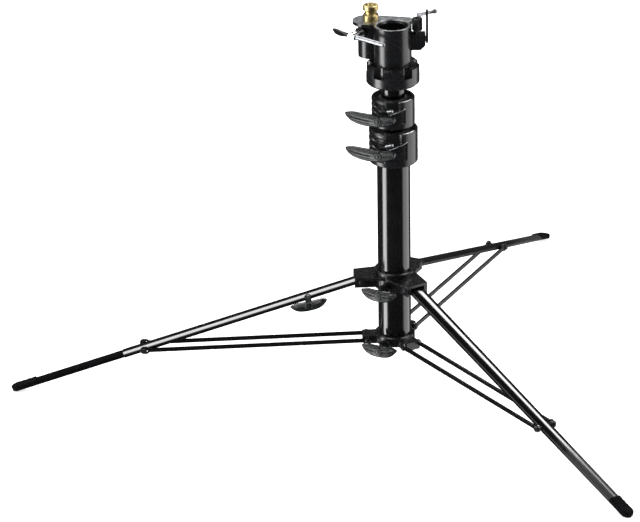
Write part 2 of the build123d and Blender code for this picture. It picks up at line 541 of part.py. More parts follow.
def brass_spigot():
    """16 mm spigot with a retaining neck and a threaded hole in its end."""
    body = upright(SPIGOT_X, SPIGOT_Y, SPIGOT_R, SPIGOT_BOTTOM, SPIGOT_TOP)
    body = chamfer(body.edges().filter_by(GeomType.CIRCLE), SPIGOT_LIP)
    groove = Circle(SPIGOT_R + CUT) - Circle(SPIGOT_NECK_R)
    body -= Pos(SPIGOT_X, SPIGOT_Y, NECK_BOTTOM) * extrude(groove, NECK_TOP - NECK_BOTTOM)
    hole_floor = SPIGOT_TOP - SPIGOT_HOLE_DEPTH
    return body - upright(SPIGOT_X, SPIGOT_Y, SPIGOT_HOLE_R, hole_floor, SPIGOT_TOP + CUT)


def spigot_lock():
    """Screw that holds the spigot, and the tommy bar that slides through its head."""
    lock, spigot_s = spigot_lock_place()
    tip = spigot_s + SPIGOT_R + SIDE_GAP
    screw = Pos(tip, 0, 0) * rod(SCREW_R, BAR_PLANE - tip)
    screw += Pos(BAR_PLANE - BAR_HEAD / 2, 0, 0) * rod(BAR_HEAD_R, BAR_HEAD)
    screw -= Pos(BAR_PLANE, 0, 0) * cross_rod(BAR_R + SHAFT_GAP, BAR_HEAD_R + CUT)
    bar = cross_rod(BAR_R, BAR_LENGTH / 2)
    for side in (-1, 1):
        bar += Pos(0, side * (BAR_LENGTH / 2 - BAR_END / 2), 0) * cross_rod(BAR_END_R, BAR_END / 2)
    return lock * screw, lock * Pos(BAR_PLANE, BAR_SHIFT, 0) * bar


def socket_lock():
    """Screw, upright lever and cross bar that lock whatever stands in the socket."""
    tip = SOCKET_R + SOCKET_SCREW_RECESS
    screw = Pos(tip, 0, SOCKET_LOCK_Z) * rod(SCREW_R, LEVER_X1 - tip)
    bar = Pos(-LEVER_BAR_LENGTH / 2, 0, 0) * rod(LEVER_BAR_R, LEVER_BAR_LENGTH)
    middle = Pos((LEVER_X0 + LEVER_X1) / 2, 0, LEVER_BAR_Z)
    bar = middle * Rot(0, 0, LEVER_BAR_AZIMUTH) * bar
    arm = block(LEVER_X0, LEVER_X1, -LEVER_HALF_Y, LEVER_HALF_Y, LEVER_BOTTOM, LEVER_TOP)
    arm += Pos(LEVER_X0, 0, SOCKET_LOCK_Z) * rod(LEVER_HUB_R, LEVER_X1 - LEVER_X0)
    return screw, arm - screw - bar, bar


def head_parts():
    """Everything that rides on the top of riser 2."""
    spigot_screw, tommy_bar = spigot_lock()
    socket_screw, socket_lever, lever_bar = socket_lock()
    stem = upright(POST_X, POST_Y, POST_STEM_R, LUG_Z1 - POST_DEPTH, LUG_Z1)
    return {
        "head_casting": head_casting(),
        "head_roll_pin": Pos(-SKIRT_OD / 2, 0, ROLL_PIN_Z) * rod(ROLL_PIN_R, SKIRT_OD),
        "brass_spigot": brass_spigot(),
        "spigot_lock_screw": spigot_screw,
        "spigot_lock_bar": tommy_bar,
        "socket_lock_screw": socket_screw,
        "socket_lock_lever": socket_lever,
        "socket_lock_bar": lever_bar,
        "lug_post": stem + upright(POST_X, POST_Y, POST_R, LUG_Z1, POST_TOP),
        "lug_post_cap": upright(POST_X, POST_Y, POST_R + CAP_LIP, POST_TOP, CAP_TOP),
    }


parts = {
    **column_parts(),
    **collar_parts(),
    **spider_parts(),
    **left_leg_parts(),
    **fixed_leg("front"),
    **fixed_leg("back"),
    **brace_parts(),
    **head_parts(),
}

os.makedirs("parts", exist_ok=True)
for node, shape in parts.items():
    export_step(shape, f"parts/{node}.step")
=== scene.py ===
import json
from math import asin, atan2, cos, pi, radians, sin, sqrt

import bmesh
import bpy
from mathutils import Matrix, Vector
from mathutils.geometry import convex_hull_2d


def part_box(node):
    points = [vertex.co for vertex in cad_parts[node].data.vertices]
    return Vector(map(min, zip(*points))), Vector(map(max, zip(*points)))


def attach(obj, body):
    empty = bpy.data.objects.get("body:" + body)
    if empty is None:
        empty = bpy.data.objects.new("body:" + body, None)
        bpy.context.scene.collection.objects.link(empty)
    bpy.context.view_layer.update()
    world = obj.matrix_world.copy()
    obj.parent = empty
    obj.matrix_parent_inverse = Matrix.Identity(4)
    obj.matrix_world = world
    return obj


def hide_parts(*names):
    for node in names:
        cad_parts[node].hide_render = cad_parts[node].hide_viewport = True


# Looks of a low lighting stand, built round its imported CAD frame. Metres; MM turns millimetres into them.
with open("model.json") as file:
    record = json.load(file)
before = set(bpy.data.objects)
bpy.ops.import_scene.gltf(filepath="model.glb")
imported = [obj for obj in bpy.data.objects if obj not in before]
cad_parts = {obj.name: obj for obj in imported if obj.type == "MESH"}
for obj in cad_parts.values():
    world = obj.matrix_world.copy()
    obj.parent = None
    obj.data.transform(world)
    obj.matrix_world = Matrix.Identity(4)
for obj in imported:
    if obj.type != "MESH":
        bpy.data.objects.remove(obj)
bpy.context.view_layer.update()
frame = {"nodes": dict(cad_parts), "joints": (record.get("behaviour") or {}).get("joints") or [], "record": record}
MM = 0.001
UP = Vector((0, 0, 1))
JOINTS = {joint["name"]: joint for joint in frame["joints"]}

# ---- camera ----
CAMERA_PLACE = (0.0, -3.7997, 1.7946)
CAMERA_DOWN, CAMERA_TURN, CAMERA_ROLL = 23.596, -1.190, -0.913
CAMERA_LENS, CAMERA_SENSOR = 219.45, 36.0

# ---- sizes: millimetres, with angles in degrees and a collar's relief in shares of its height ----
TURNED_SIDES = 96
TUBE_LIP = 0.5
SHELL_SIDES, SHELL_ROWS = 240, 80
COLLAR_RADII = {"lower": 25.7, "upper": 22.7}
COLLAR_BORES = {"lower": 16.3, "upper": 13.8}
COLLAR_WALL, COLLAR_CUP, COLLAR_LIP, COLLAR_BOSS_R = 2.4, 4.0, 1.2, 6.5
RIB_LEFT, WINDOW_LEFT, WINDOW_RIGHT, RAMP_RIGHT = -100.0, -22.0, 17.0, 34.0
RIB_COUNT, RIB_DEPTH, WINDOW_DEPTH, LIP_STEP = 5, 1.7, 1.9, 0.8
RAMP_FOOT, RAMP_HEAD, RAMP_EDGE = 0.52, 0.77, 0.03
# Collar beads: the rim and ramp beads are painted highlights in bright metal; the barrel is the metal pivot of the
# lever.
RIM_HIGHLIGHT_TURNS, RAMP_HIGHLIGHT_TURNS, BARREL_TURNS = range(18, 62, 2), range(-18, 35, 2), range(-20, 1, 2)
RIM_HIGHLIGHT_BEAD_R, RAMP_HIGHLIGHT_BEAD_R, BARREL_R, BEAD_SIDES = 0.55, 0.5, 2.0, 16
GRIP_STATIONS, GRIP_SIDES = 64, 72
GRIP_FLUTES, GRIP_FLUTE_DEPTH = 4, 0.6
GRIP_DEPTH, GRIP_KEEL, GRIP_TIP, GRIP_DECK, GRIP_TOP = 9.0, 6.0, 0.2, 3.9, 4.6
GRIP_NOSE, GRIP_HEEL, GRIP_FULLNESS, GRIP_SQUARENESS = 8.0, 2.5, 2.6, 2.8
GRIP_BLUNT_RATIO, GRIP_SMALLEST_END, GRIP_WAIST = 1.2, 0.02, 0.15
NECK_BORE_R, NECK_FOOT_R, NECK_R, NECK_FLARE_R = 2.2, 4.1, 4.5, 5.5
NECK_CHAMFER, NECK_FLARE = 0.8, 2.0
HUB_R, HUB_RIM_R, HUB_LIP_R, HUB_DISH_R = 4.6, 3.9, 2.6, 2.3
HUB_DEPTH, HUB_SINK, HUB_RISE = 3.0, 0.6, 0.3
STUD_R, STUD_TIP_R, STUD_LENGTH, STUD_CHAMFER = 1.9, 1.5, 1.0, 0.2
COLLAR_GRIP_SWELL, SPIDER_GRIP_SWELL = 1.3, 1.25
LEVEL_GRIP_ROLL, LEVEL_GRIP_SLIM = -6.0, 0.72
SHEATH_CROWN, SLIDER_HALF_WIDTH, SLIDER_HALF_HEIGHT, SLIDER_PLAY = 1.1, 6.45, 1.4, 0.1
SHEATH_BOSS_R, SHEATH_POCKET = 3.2, 60.0
SLIDER_GAP, SLIDER_ENTRY, SLIDER_CROWN = 0.3, 2.0, 0.1
BLOCK_FROM, BLOCK_TO = 0.4, 9.0
PIN_R, PIN_HEAD_R, PIN_HEAD, NUT_EXTRA, LEG_PIN_REACH, BRACE_PIN_REACH = 1.5, 2.9, 1.5, 0.2, 12.5, 11.5
MOUTH_R, MOUTH_OUTER_R = 16.3, 19.2
DECK_RISE, DECK_SINK, DECK_SPACING, DECK_ARC_STEPS = 0.12, 0.5, 0.8, 40
SPIGOT_BORE_PLAY, SPIGOT_BORE_SIDES = 0.35, 48
SPIGOT_NECK_R, SPIGOT_NECK_LOW, SPIGOT_NECK_HIGH = 6.2, 10.0, 5.5
SPIGOT_HOLE_R, SPIGOT_HOLE_DEPTH, SPIGOT_THREADS = 4.2, 12.0, 9
LOBES = ((-26.0, 16.0, 14.9), (14.0, 16.0, 7.4))
BAR_R, BAR_NOSE, BAR_SIDES, BAR_SQUARENESS, WING_R = 2.2, 2.0, 40, 2.3, 2.4
CAP_KNURLS, CAP_KNURL_DEPTH, CAP_SIDES = 16, 0.45, 128
LEG_STATIONS, LEG_TAPER, LEG_HEIGHT, LEG_CROWN, LEG_WALL, LEG_FOLD = 24, 4.0, 5.0, 1.2, 1.2, 1.1
FOLD_STEPS, CROWN_STEPS = 5, 12
FOOT_STATIONS, FOOT_SIDES = 48, 40
FOOT_RIBS, FOOT_RIB_DEPTH, FOOT_RIB_FROM, FOOT_RIB_TO = 5, 0.4, 0.06, 0.62
FOOT_NOSE_THICKNESS, FOOT_NOSE_SWELL, FOOT_SQUARENESS = 0.72, 0.28, 4.0
PADDLE_LENGTH, PADDLE_HALF_WIDTH, PADDLE_HALF_THICKNESS, PADDLE_ROLL = 22.0, 6.0, 1.1, 35.0
DULL_LENGTH = 31.0
# Paddle sections from its tip: share of its length, then shares of its half-width and half-thickness.
PADDLE_SHAPE = (
    (0.0, 0.4, 0.3), (0.02, 0.62, 0.6), (0.10, 0.86, 0.9), (0.22, 1.0, 1.0),
    (0.42, 0.96, 1.0), (0.60, 0.72, 1.1), (0.76, 0.52, 1.4), (0.90, 0.45, 1.8),
)
LEGS = ("left", "front", "back")


# ---- materials ----
class Finish:
    """A Principled surface whose colour, roughness and bump come from noise in the object's own space."""

    def __init__(self, name, colour, metallic=0.0, roughness=0.3, coat=0.0, ior=1.5, shine=0.5):
        self.material = bpy.data.materials.new(name)
        self.material.use_nodes = True
        self.tree = self.material.node_tree
        self.shader = self.tree.nodes["Principled BSDF"]
        self.shader.inputs["Metallic"].default_value = metallic
        self.shader.inputs["Coat Weight"].default_value = coat
        self.shader.inputs["Coat Roughness"].default_value = 0.06
        self.shader.inputs["IOR"].default_value = ior
        self.shader.inputs["Specular IOR Level"].default_value = shine
        self.place = self.node("ShaderNodeTexCoord").outputs["Object"]
        self.colour = colour
        self.roughness = roughness
        self.rough_socket = None
        self.colour_socket = None

    def node(self, kind, inputs=(), **settings):
        """One node; inputs maps a socket's name or index to a value or to another node's output."""
        made = self.tree.nodes.new(kind)
        for key, value in settings.items():
            setattr(made, key, value)
        for key, value in dict(inputs).items():
            if isinstance(value, bpy.types.NodeSocket):
                self.tree.links.new(value, made.inputs[key])
            else:
                made.inputs[key].default_value = value
        return made

    def noise(self, size, detail=3.0, stretch=(1, 1, 1)):
        """Noise whose features are about size metres across, from 0 to 1."""
        place = self.node("ShaderNodeMapping", {"Vector": self.place, "Scale": stretch})
        return self.node(
            "ShaderNodeTexNoise",
            {"Vector": place.outputs[0], "Scale": 1 / size, "Detail": detail, "Roughness": 0.6},
        ).outputs["Fac"]

    def ramp(self, value, low, high, to_low, to_high):
        """Smooth step of a value from one range to another."""
        return self.node(
            "ShaderNodeMapRange",
            {"Value": value, "From Min": low, "From Max": high, "To Min": to_low, "To Max": to_high},
            interpolation_type="SMOOTHSTEP",
        ).outputs[0]

    def mix(self, factor, low, high):
        """Mix of two colours."""
        made = self.node("ShaderNodeMix", data_type="RGBA")
        for index, value in ((0, factor), (6, low), (7, high)):
            if isinstance(value, bpy.types.NodeSocket):
                self.tree.links.new(value, made.inputs[index])
            else:
                made.inputs[index].default_value = value if index == 0 else (*value, 1.0)
        return made.outputs[2]

    def multiply(self, first, second):
        """Product of two values."""
        return self.node("ShaderNodeMath", {0: first, 1: second}, operation="MULTIPLY").outputs[0]

    def mottle(self, size, dark, light):
        """Slow change of tone over the surface."""
        low = tuple(channel * dark for channel in self.colour)
        high = tuple(channel * light for channel in self.colour)
        self.colour_socket = self.mix(self.ramp(self.noise(size), 0.3, 0.7, 0.0, 1.0), low, high)

    def edge_mask(self, radius):
        """1 within about radius of a sharp edge, and 0 on open faces."""
        soft = self.node("ShaderNodeBevel", {"Radius": radius}, samples=4).outputs[0]
        flat = self.node("ShaderNodeNewGeometry").outputs["Normal"]
        dot = self.node("ShaderNodeVectorMath", {0: soft, 1: flat}, operation="DOT_PRODUCT")
        return self.ramp(dot.outputs["Value"], 0.90, 0.995, 1.0, 0.0)

    def wear(self, radius, colour, chip_size, share, rougher):
        """Paint rubbed off in patches along the edges."""
        chips = self.ramp(self.noise(chip_size, 4.0), 1 - share, 1.08 - share, 0.0, 1.0)
        mask = self.multiply(self.edge_mask(radius), chips)
        self.colour_socket = self.mix(mask, self.colour_socket, colour)
        self.scuff(mask, rougher)

    def scuff(self, mask, rougher):
        """Adds roughness where mask is 1."""
        base = self.rough_socket
        added = self.multiply(mask, rougher)
        self.rough_socket = self.node("ShaderNodeMath", {0: base, 1: added}, operation="ADD").outputs[0]

    def polish(self, size, spread, stretch=(1, 1, 1)):
        """Roughness that changes over the surface."""
        noise = self.noise(size, 4.0, stretch)
        low, high = self.roughness - spread, self.roughness + spread
        self.rough_socket = self.ramp(noise, 0.3, 0.7, max(low, 0.02), high)

    def grain(self, *layers):
        """Bump from noise layers of (feature size, depth, stretch), both in metres."""
        normal = None
        for size, depth, stretch in layers:
            inputs = {"Height": self.noise(size, 2.0, stretch), "Distance": depth, "Strength": 1.0}
            if normal:
                inputs["Normal"] = normal
            normal = self.node("ShaderNodeBump", inputs).outputs[0]
        self.tree.links.new(normal, self.shader.inputs["Normal"])

    def done(self):
        """Joins the sockets to the shader and returns the material."""
        self.tree.links.new(self.colour_socket, self.shader.inputs["Base Color"])
        self.tree.links.new(self.rough_socket, self.shader.inputs["Roughness"])
        return self.material


EVEN = (1, 1, 1)
BRUSHED = (1, 1, 0.04)


def gloss_paint():
    """Deep gloss black over steel tube, with orange peel and a few rubbed edges."""
    made = Finish("black_gloss_paint", (0.0035, 0.0035, 0.004), roughness=0.13, coat=0.5)
    made.mottle(0.03, 0.75, 1.3)
    made.polish(0.012, 0.045)
    made.wear(0.35 * MM, (0.10, 0.105, 0.11), 2.2 * MM, 0.36, 0.25)
    made.grain((1.6 * MM, 0.010 * MM, EVEN), (9 * MM, 0.03 * MM, EVEN))
    return made.done()


def leg_paint():
    """Gloss black that turns dull towards the foot, where the leg is handled and scuffed."""
    made = Finish("leg_paint", (0.0035, 0.0035, 0.004), roughness=0.12, coat=0.3)
    made.mottle(0.03, 0.75, 1.3)
    made.polish(0.012, 0.04)
    made.wear(0.35 * MM, (0.08, 0.085, 0.09), 2.2 * MM, 0.34, 0.25)
    reach = made.node("ShaderNodeVectorMath", {0: made.place}, operation="LENGTH").outputs["Value"]
    made.scuff(made.ramp(reach, 0.27, 0.37, 0.0, 1.0), 0.5)
    made.grain((1.6 * MM, 0.008 * MM, EVEN))
    return made.done()


def satin_paint():
    """Satin black of the sliding leg, almost without shine."""
    made = Finish("black_satin_paint", (0.003, 0.003, 0.0035), roughness=0.62, ior=1.2, shine=0.1)
    made.mottle(0.02, 0.7, 1.4)
    made.polish(0.008, 0.08, (0.15, 1, 1))
    made.wear(0.5 * MM, (0.14, 0.14, 0.145), 2.0 * MM, 0.4, 0.1)
    made.grain((0.7 * MM, 0.02 * MM, EVEN))
    return made.done()


def cast_paint():
    """Black powder coat on a rough casting."""
    made = Finish("black_casting", (0.005, 0.0053, 0.006), roughness=0.26, coat=0.2)
    made.mottle(0.012, 0.85, 1.2)
    made.polish(0.006, 0.03)
    made.wear(0.5 * MM, (0.11, 0.113, 0.118), 2.6 * MM, 0.5, 0.12)
    made.grain((0.9 * MM, 0.012 * MM, EVEN), (4 * MM, 0.03 * MM, EVEN))
    return made.done()


def grip_plastic():
    """Moulded satin plastic of the wing grips."""
    made = Finish("grip_plastic", (0.008, 0.009, 0.0095), roughness=0.24)
    made.mottle(0.008, 0.75, 1.3)
    made.polish(0.004, 0.06)
    made.wear(0.6 * MM, (0.09, 0.095, 0.10), 1.8 * MM, 0.5, 0.1)
    made.grain((0.45 * MM, 0.03 * MM, EVEN))
    return made.done()


def foot_plastic():
    """Matt black foot, scuffed grey on its edges."""
    made = Finish("foot_plastic", (0.0025, 0.0025, 0.003), roughness=0.68, ior=1.2, shine=0.2)
    made.mottle(0.006, 0.7, 1.8)
    made.polish(0.004, 0.1)
    made.wear(0.6 * MM, (0.03, 0.03, 0.03), 1.5 * MM, 0.4, 0.1)
    made.grain((0.5 * MM, 0.06 * MM, EVEN))
    return made.done()


def bush_plastic():
    """Dark acetal linings."""
    made = Finish("bush_plastic", (0.07, 0.07, 0.075), roughness=0.4)
    made.mottle(0.01, 0.8, 1.2)
    made.polish(0.005, 0.08)
    made.grain((0.6 * MM, 0.02 * MM, EVEN))
    return made.done()


def chrome():
    """Bright plate with a slight cloud and hairline scratches."""
    made = Finish("chrome", (0.82, 0.82, 0.83), metallic=1.0, roughness=0.12)
    made.mottle(0.006, 0.82, 1.12)
    made.polish(0.003, 0.06, BRUSHED)
    made.grain((0.8 * MM, 0.006 * MM, (1, 1, 0.1)))
    return made.done()


def brass():
    """Turned brass, its tone varied in small random patches."""
    made = Finish("brass", (0.66, 0.52, 0.23), metallic=1.0, roughness=0.36)
    made.mottle(0.004, 0.55, 1.15)
    made.polish(0.002, 0.09)
    made.grain((0.5 * MM, 0.012 * MM, (0.1, 0.1, 1)))
    return made.done()


def black_steel():
    """Blackened fasteners with an oily sheen."""
    made = Finish("black_steel", (0.016, 0.016, 0.018), metallic=0.5, roughness=0.34)
    made.mottle(0.004, 0.6, 1.6)
    made.polish(0.002, 0.1)
    made.wear(0.5 * MM, (0.12, 0.12, 0.125), 1.2 * MM, 0.5, 0.0)
    made.grain((0.5 * MM, 0.02 * MM, EVEN))
    return made.done()


def zinc_steel():
    """Zinc plate, slightly clouded."""
    made = Finish("zinc_steel", (0.36, 0.37, 0.39), metallic=1.0, roughness=0.32)
    made.mottle(0.004, 0.7, 1.2)
    made.polish(0.002, 0.1)
    made.grain((0.5 * MM, 0.02 * MM, EVEN))
    return made.done()


def machined_face():
    """Grey face left by a mill, on the head's top and round its socket."""
    made = Finish("machined_face", (0.30, 0.31, 0.32), metallic=1.0, roughness=0.42)
    made.mottle(0.005, 0.6, 1.2)
    made.polish(0.003, 0.08)
    made.wear(0.5 * MM, (0.7, 0.7, 0.72), 2.0 * MM, 0.6, 0.0)
    made.grain((0.5 * MM, 0.02 * MM, (1, 0.1, 1)))
    return made.done()


def dull_plate():
    """Dulled plate of a stamped paddle, rubbed bright on its edges."""
    made = Finish("dull_plate", (0.045, 0.045, 0.047), metallic=1.0, roughness=0.38)
    made.mottle(0.004, 0.6, 1.5)
    made.polish(0.002, 0.1)
    made.wear(0.4 * MM, (0.5, 0.5, 0.52), 1.6 * MM, 0.6, 0.0)
    made.grain((0.5 * MM, 0.02 * MM, EVEN))
    return made.done()


def bare_alloy():
    """Casting metal bared by machining, on the collar levers' pivot barrels; on the collar rim and ramp beads it
    is a painted highlight.
    """
    made = Finish("bare_alloy", (0.62, 0.63, 0.65), metallic=1.0, roughness=0.3)
    made.mottle(0.003, 0.75, 1.15)
    made.polish(0.002, 0.08)
    made.grain((0.4 * MM, 0.015 * MM, (1, 1, 0.2)))
    return made.done()


MATERIALS = {
    "dull_plate": dull_plate(),
    "black_gloss_paint": gloss_paint(),
    "black_satin_paint": satin_paint(),
    "leg_paint": leg_paint(),
    "black_casting": cast_paint(),
    "grip_plastic": grip_plastic(),
    "foot_plastic": foot_plastic(),
    "bush_plastic": bush_plastic(),
    "chrome": chrome(),
    "brass": brass(),
    "black_steel": black_steel(),
    "zinc_steel": zinc_steel(),
    "machined_face": machined_face(),
    "bare_alloy": bare_alloy(),
}
SLOT_OF = {part["node"]: part["material_slot"] for part in frame["record"]["subparts"]}


# ---- mesh tools ----
def bridge(mesh, low, high, closed=True):
    """Faces between two rows of vertices; a row of one vertex is a tip."""
    count = max(len(low), len(high))
    for i in range(count if closed else count - 1):
        j = (i + 1) % count
        if len(low) == 1:
            mesh.faces.new((low[0], high[j], high[i]))
        elif len(high) == 1:
            mesh.faces.new((low[i], low[j], high[0]))
        else:
            mesh.faces.new((low[i], low[j], high[j], high[i]))


def loft(name, place, rings, looped=False):
    """Mesh through rings of local points in millimetres; a looped stack joins its ends."""
    mesh = bmesh.new()
    rows = [[mesh.verts.new(place @ (Vector(point) * MM)) for point in ring] for ring in rings]
    for low, high in zip(rows, rows[1:] + rows[:1] if looped else rows[1:]):
        bridge(mesh, low, high)
    if not looped:
        for row in (rows[0], rows[-1]):
            if len(row) > 1:
                mesh.faces.new(row)
    bmesh.ops.recalc_face_normals(mesh, faces=mesh.faces)
    return to_object(name, mesh)


def to_object(name, mesh):
    """Object in the scene from a bmesh."""
    data = bpy.data.meshes.new(name)
    mesh.to_mesh(data)
    mesh.free()
    made = bpy.data.objects.new(name, data)
    bpy.context.scene.collection.objects.link(made)
    return made


def circle(x, radius, sides=TURNED_SIDES):
    """Ring of points about the local X axis, or one point where the radius is 0."""
    if radius == 0:
        return [(x, 0, 0)]
    turns = [2 * pi * i / sides for i in range(sides)]
    return [(x, radius * cos(turn), radius * sin(turn)) for turn in turns]


def turned(name, place, profile, looped=False):
    """Lathe-turned piece: profile is (distance along the axis, radius) in millimetres."""
    return loft(name, place, [circle(x, radius) for x, radius in profile], looped)


def smooth(piece, angle=32.0):
    """Smooth shading that breaks at sharp corners."""
    piece.data.shade_smooth()
    piece.data.set_sharp_from_angle(angle=radians(angle))


def round_edges(piece, width, segments=3, angle=32.0):
    """Small rounding along the sharp edges, with its shading kept even."""
    bevel = piece.modifiers.new("edge", "BEVEL")
    bevel.width = width * MM
    bevel.segments = segments
    bevel.limit_method = "ANGLE"
    bevel.angle_limit = radians(angle)
    bevel.harden_normals = True


def dress(piece, material, body, width=0.3, stands_for=()):
    """Finish, edges and body of a new piece."""
    piece.data.materials.clear()
    piece.data.materials.append(MATERIALS[material])
    smooth(piece)
    if width:
        round_edges(piece, width)
    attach(piece, body)
    if stands_for:
        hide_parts(*stands_for)
    return piece


def place_at(origin, along, up=UP):
    """Placement at a point in metres, with +X along one direction and +Z as near to up as it can be."""
    x = Vector(along).normalized()
    y = up.cross(x).normalized()
    z = x.cross(y)
    turn = Matrix((x, y, z)).transposed().to_4x4()
    return Matrix.Translation(Vector(origin)) @ turn


def local_box(node, place):
    """Lowest and highest corners of a CAD node in a placement, in millimetres."""
    back = place.inverted()
    points = [back @ vertex.co / MM for vertex in frame["nodes"][node].data.vertices]
    low = Vector([min(point[i] for point in points) for i in range(3)])
    high = Vector([max(point[i] for point in points) for i in range(3)])
    return low, high


AXIS = place_at((0, 0, 0), UP, Vector((-1, 0, 0)))


# ---- tubes ----
def tube_piece(node, body):
    """Drawn tube with a small rounded lip at each end."""
    low, high = (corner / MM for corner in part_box(node))
    outer = high.x
    inner = TUBE_BORES[node]
    profile = [
        (low.z, inner + TUBE_LIP),
        (low.z, outer - TUBE_LIP),
        (low.z + TUBE_LIP, outer),
        (high.z - TUBE_LIP, outer),
        (high.z, outer - TUBE_LIP),
        (high.z, inner + TUBE_LIP),
        (high.z - TUBE_LIP, inner),
        (low.z + TUBE_LIP, inner),
    ]
    piece = turned(f"{node}_drawn", AXIS, profile, looped=True)
    return dress(piece, "black_gloss_paint", body, 0.2, [node])


TUBE_BORES = {"column_tube": 16.0, "riser_1_tube": 13.75, "riser_2_tube": 11.0}
tube_piece("column_tube", "column")
tube_piece("riser_1_tube", "riser_1")
tube_piece("riser_2_tube", "riser_2")


# ---- wing grips ----
def rounded_section(half_y, half_z, power, sides):
    """Points of a superellipse, which is a rectangle with soft corners."""
    points = []
    for i in range(sides):
        turn = 2 * pi * i / sides
        c, s = cos(turn), sin(turn)
        points.append((
            half_y * abs(c) ** (2 / power) * (1 if c >= 0 else -1),
            half_z * abs(s) ** (2 / power) * (1 if s >= 0 else -1),
        ))
    return points


def wing_grip(node, joint, body, up=UP, roll=0.0, swell=1.0, slim=1.0):
    """Sculpted two-winged grip with its neck, hub and stud end; swell scales its height, slim its neck."""
    hinge = JOINTS[joint]
    place = place_at(hinge["pos_m"], hinge["axis"], up) @ Matrix.Rotation(radians(roll), 4, "X")
    low, high = local_box(node, place)
    outer = high.x
    middle = outer - GRIP_DEPTH / 2
    stations = [low.y + (high.y - low.y) * step / GRIP_STATIONS for step in range(GRIP_STATIONS + 1)]
    rings = [grip_ring(y, low.y, high.y, middle) for y in stations]
    grip = loft(f"{node}_grip", place, [[(x, y, z * swell) for x, y, z in ring] for ring in rings])
    neck = turned(f"{node}_neck", place, [
        (low.x, NECK_BORE_R), (low.x, NECK_FOOT_R * slim), (low.x + NECK_CHAMFER, NECK_R * slim),
        (middle - NECK_FLARE, NECK_R * slim), (middle, NECK_FLARE_R * slim), (middle, NECK_BORE_R),
    ], looped=True)
    hub = turned(f"{node}_hub", place, [
        (middle - HUB_DEPTH, 0), (middle - HUB_DEPTH, HUB_R), (outer - HUB_SINK, HUB_R),
        (outer + HUB_RISE, HUB_RIM_R), (outer + HUB_RISE, HUB_LIP_R),
        (outer - HUB_SINK, HUB_DISH_R), (outer - HUB_SINK, 0),
    ])
    stud = turned(f"{node}_stud_end", place, [
        (outer - STUD_LENGTH, 0), (outer - STUD_LENGTH, STUD_R), (outer - STUD_CHAMFER, STUD_R),
        (outer, STUD_TIP_R), (outer, 0),
    ])
    dress(grip, "grip_plastic", body, 0, [node])
    dress(neck, "grip_plastic", body, 0.3)
    dress(hub, "grip_plastic", body, 0.3)
    dress(stud, "black_steel", body, 0.15)


def grip_ring(y, left, right, middle):
    """Cross-section of a grip at one station: arched keel, dished deck and ribbed faces."""
    arm = -left if y < 0 else right
    reach = min(abs(y) / arm, 1.0)
    blunt = y > 0 and -left > GRIP_BLUNT_RATIO * right
    nose = GRIP_HEEL if blunt else GRIP_NOSE
    inset = min(min(y - left, right - y) / nose, 1.0)
    end = sqrt(max(1 - (1 - inset) ** 2, GRIP_SMALLEST_END))
    along = 2 * (y - left) / (right - left) - 1
    bottom = GRIP_TIP - (GRIP_TIP + GRIP_KEEL) * (1 - abs(along) ** GRIP_FULLNESS)
    top = GRIP_DECK + (GRIP_TOP - GRIP_DECK) * reach ** 1.4
    centre, half_z = (top + bottom) / 2, (top - bottom) / 2 * end
    half_x = GRIP_DEPTH / 2 * (1 - GRIP_WAIST * reach ** 2) * end
    ring = []
    for dx, dz in rounded_section(half_x, half_z, GRIP_SQUARENESS, GRIP_SIDES):
        deck = max(0.0, dz / half_z) ** 3
        face = max(0.0, dx / half_x) ** 3
        across = dx / GRIP_DEPTH * deck + dz / (2 * half_z) * face
        wave = 0.5 - 0.5 * cos(2 * pi * GRIP_FLUTES * across)
        groove = GRIP_FLUTE_DEPTH * wave * min(reach * 4, 1.0) * end
        ring.append((middle + dx - groove * face, y, centre + dz - 0.5 * groove * deck))
    return ring


LEG_ACROSS = {name: Vector(JOINTS[f"{name}_leg_fold"]["axis"]) for name in LEGS}
LEG_TILT = asin(-JOINTS["levelling_slide"]["axis"][2])


def leg_place(name):
    """Placement on a leg's hinge: +X down the leg, +Y across it."""
    across = LEG_ACROSS[name]
    outward = across.cross(UP)
    down = outward * cos(LEG_TILT) - UP * sin(LEG_TILT)
    return place_at(JOINTS[f"{name}_leg_fold"]["pos_m"], down)


LEFT_NORMAL = leg_place("left").to_3x3().col[2]
for level in ("lower", "upper"):
    wing_grip(f"{level}_collar_lever", f"{level}_lever_turn", f"{level}_lever", swell=COLLAR_GRIP_SWELL)
for level in ("lower", "upper"):
    wing_grip(f"{level}_spider_knob", f"{level}_knob_turn", f"{level}_knob", swell=SPIDER_GRIP_SWELL)
wing_grip(
    "levelling_knob", "level_knob_turn", "level_knob", LEFT_NORMAL, LEVEL_GRIP_ROLL, slim=LEVEL_GRIP_SLIM
)


# ---- legs ----
def crowned_top(half, height, crown, corner):
    """Outline of a leg's top from one lower edge to the other: side, rounded fold, crown, fold and side."""
    side_top = height / 2 - crown
    points = [(-half, -height / 2)]
    for step in range(FOLD_STEPS + 1):
        turn = pi - pi / 2 * step / FOLD_STEPS
        points.append((-half + corner + corner * cos(turn), side_top - corner + corner * sin(turn)))
    inner = half - corner
    for step in range(1, CROWN_STEPS):
        y = -inner + 2 * inner * step / CROWN_STEPS
        points.append((y, side_top + crown * (1 - (y / inner) ** 2)))
    return points + [(-y, z) for y, z in reversed(points[:FOLD_STEPS + 2])]


def channel_ring(x, half, height, crown, wall):
    """Section of a folded channel, open underneath."""
    outer = crowned_top(half, height, crown, LEG_FOLD)
    inner = crowned_top(half - wall, height - wall, crown, LEG_FOLD * 0.6)
    drop = wall / 2
    return [(x, y, z) for y, z in outer] + [(x, y, z - drop) for y, z in reversed(inner)]


def knuckle(name, place, radius, half_width):
    """Barrel round a leg's hinge pin."""
    across = place @ Matrix.Rotation(pi / 2, 4, "Z")
    profile = [
        (-half_width, 0), (-half_width, radius - 0.4), (-half_width + 0.4, radius),
        (half_width - 0.4, radius), (half_width, radius - 0.4), (half_width, 0),
    ]
    return turned(name, across, profile)


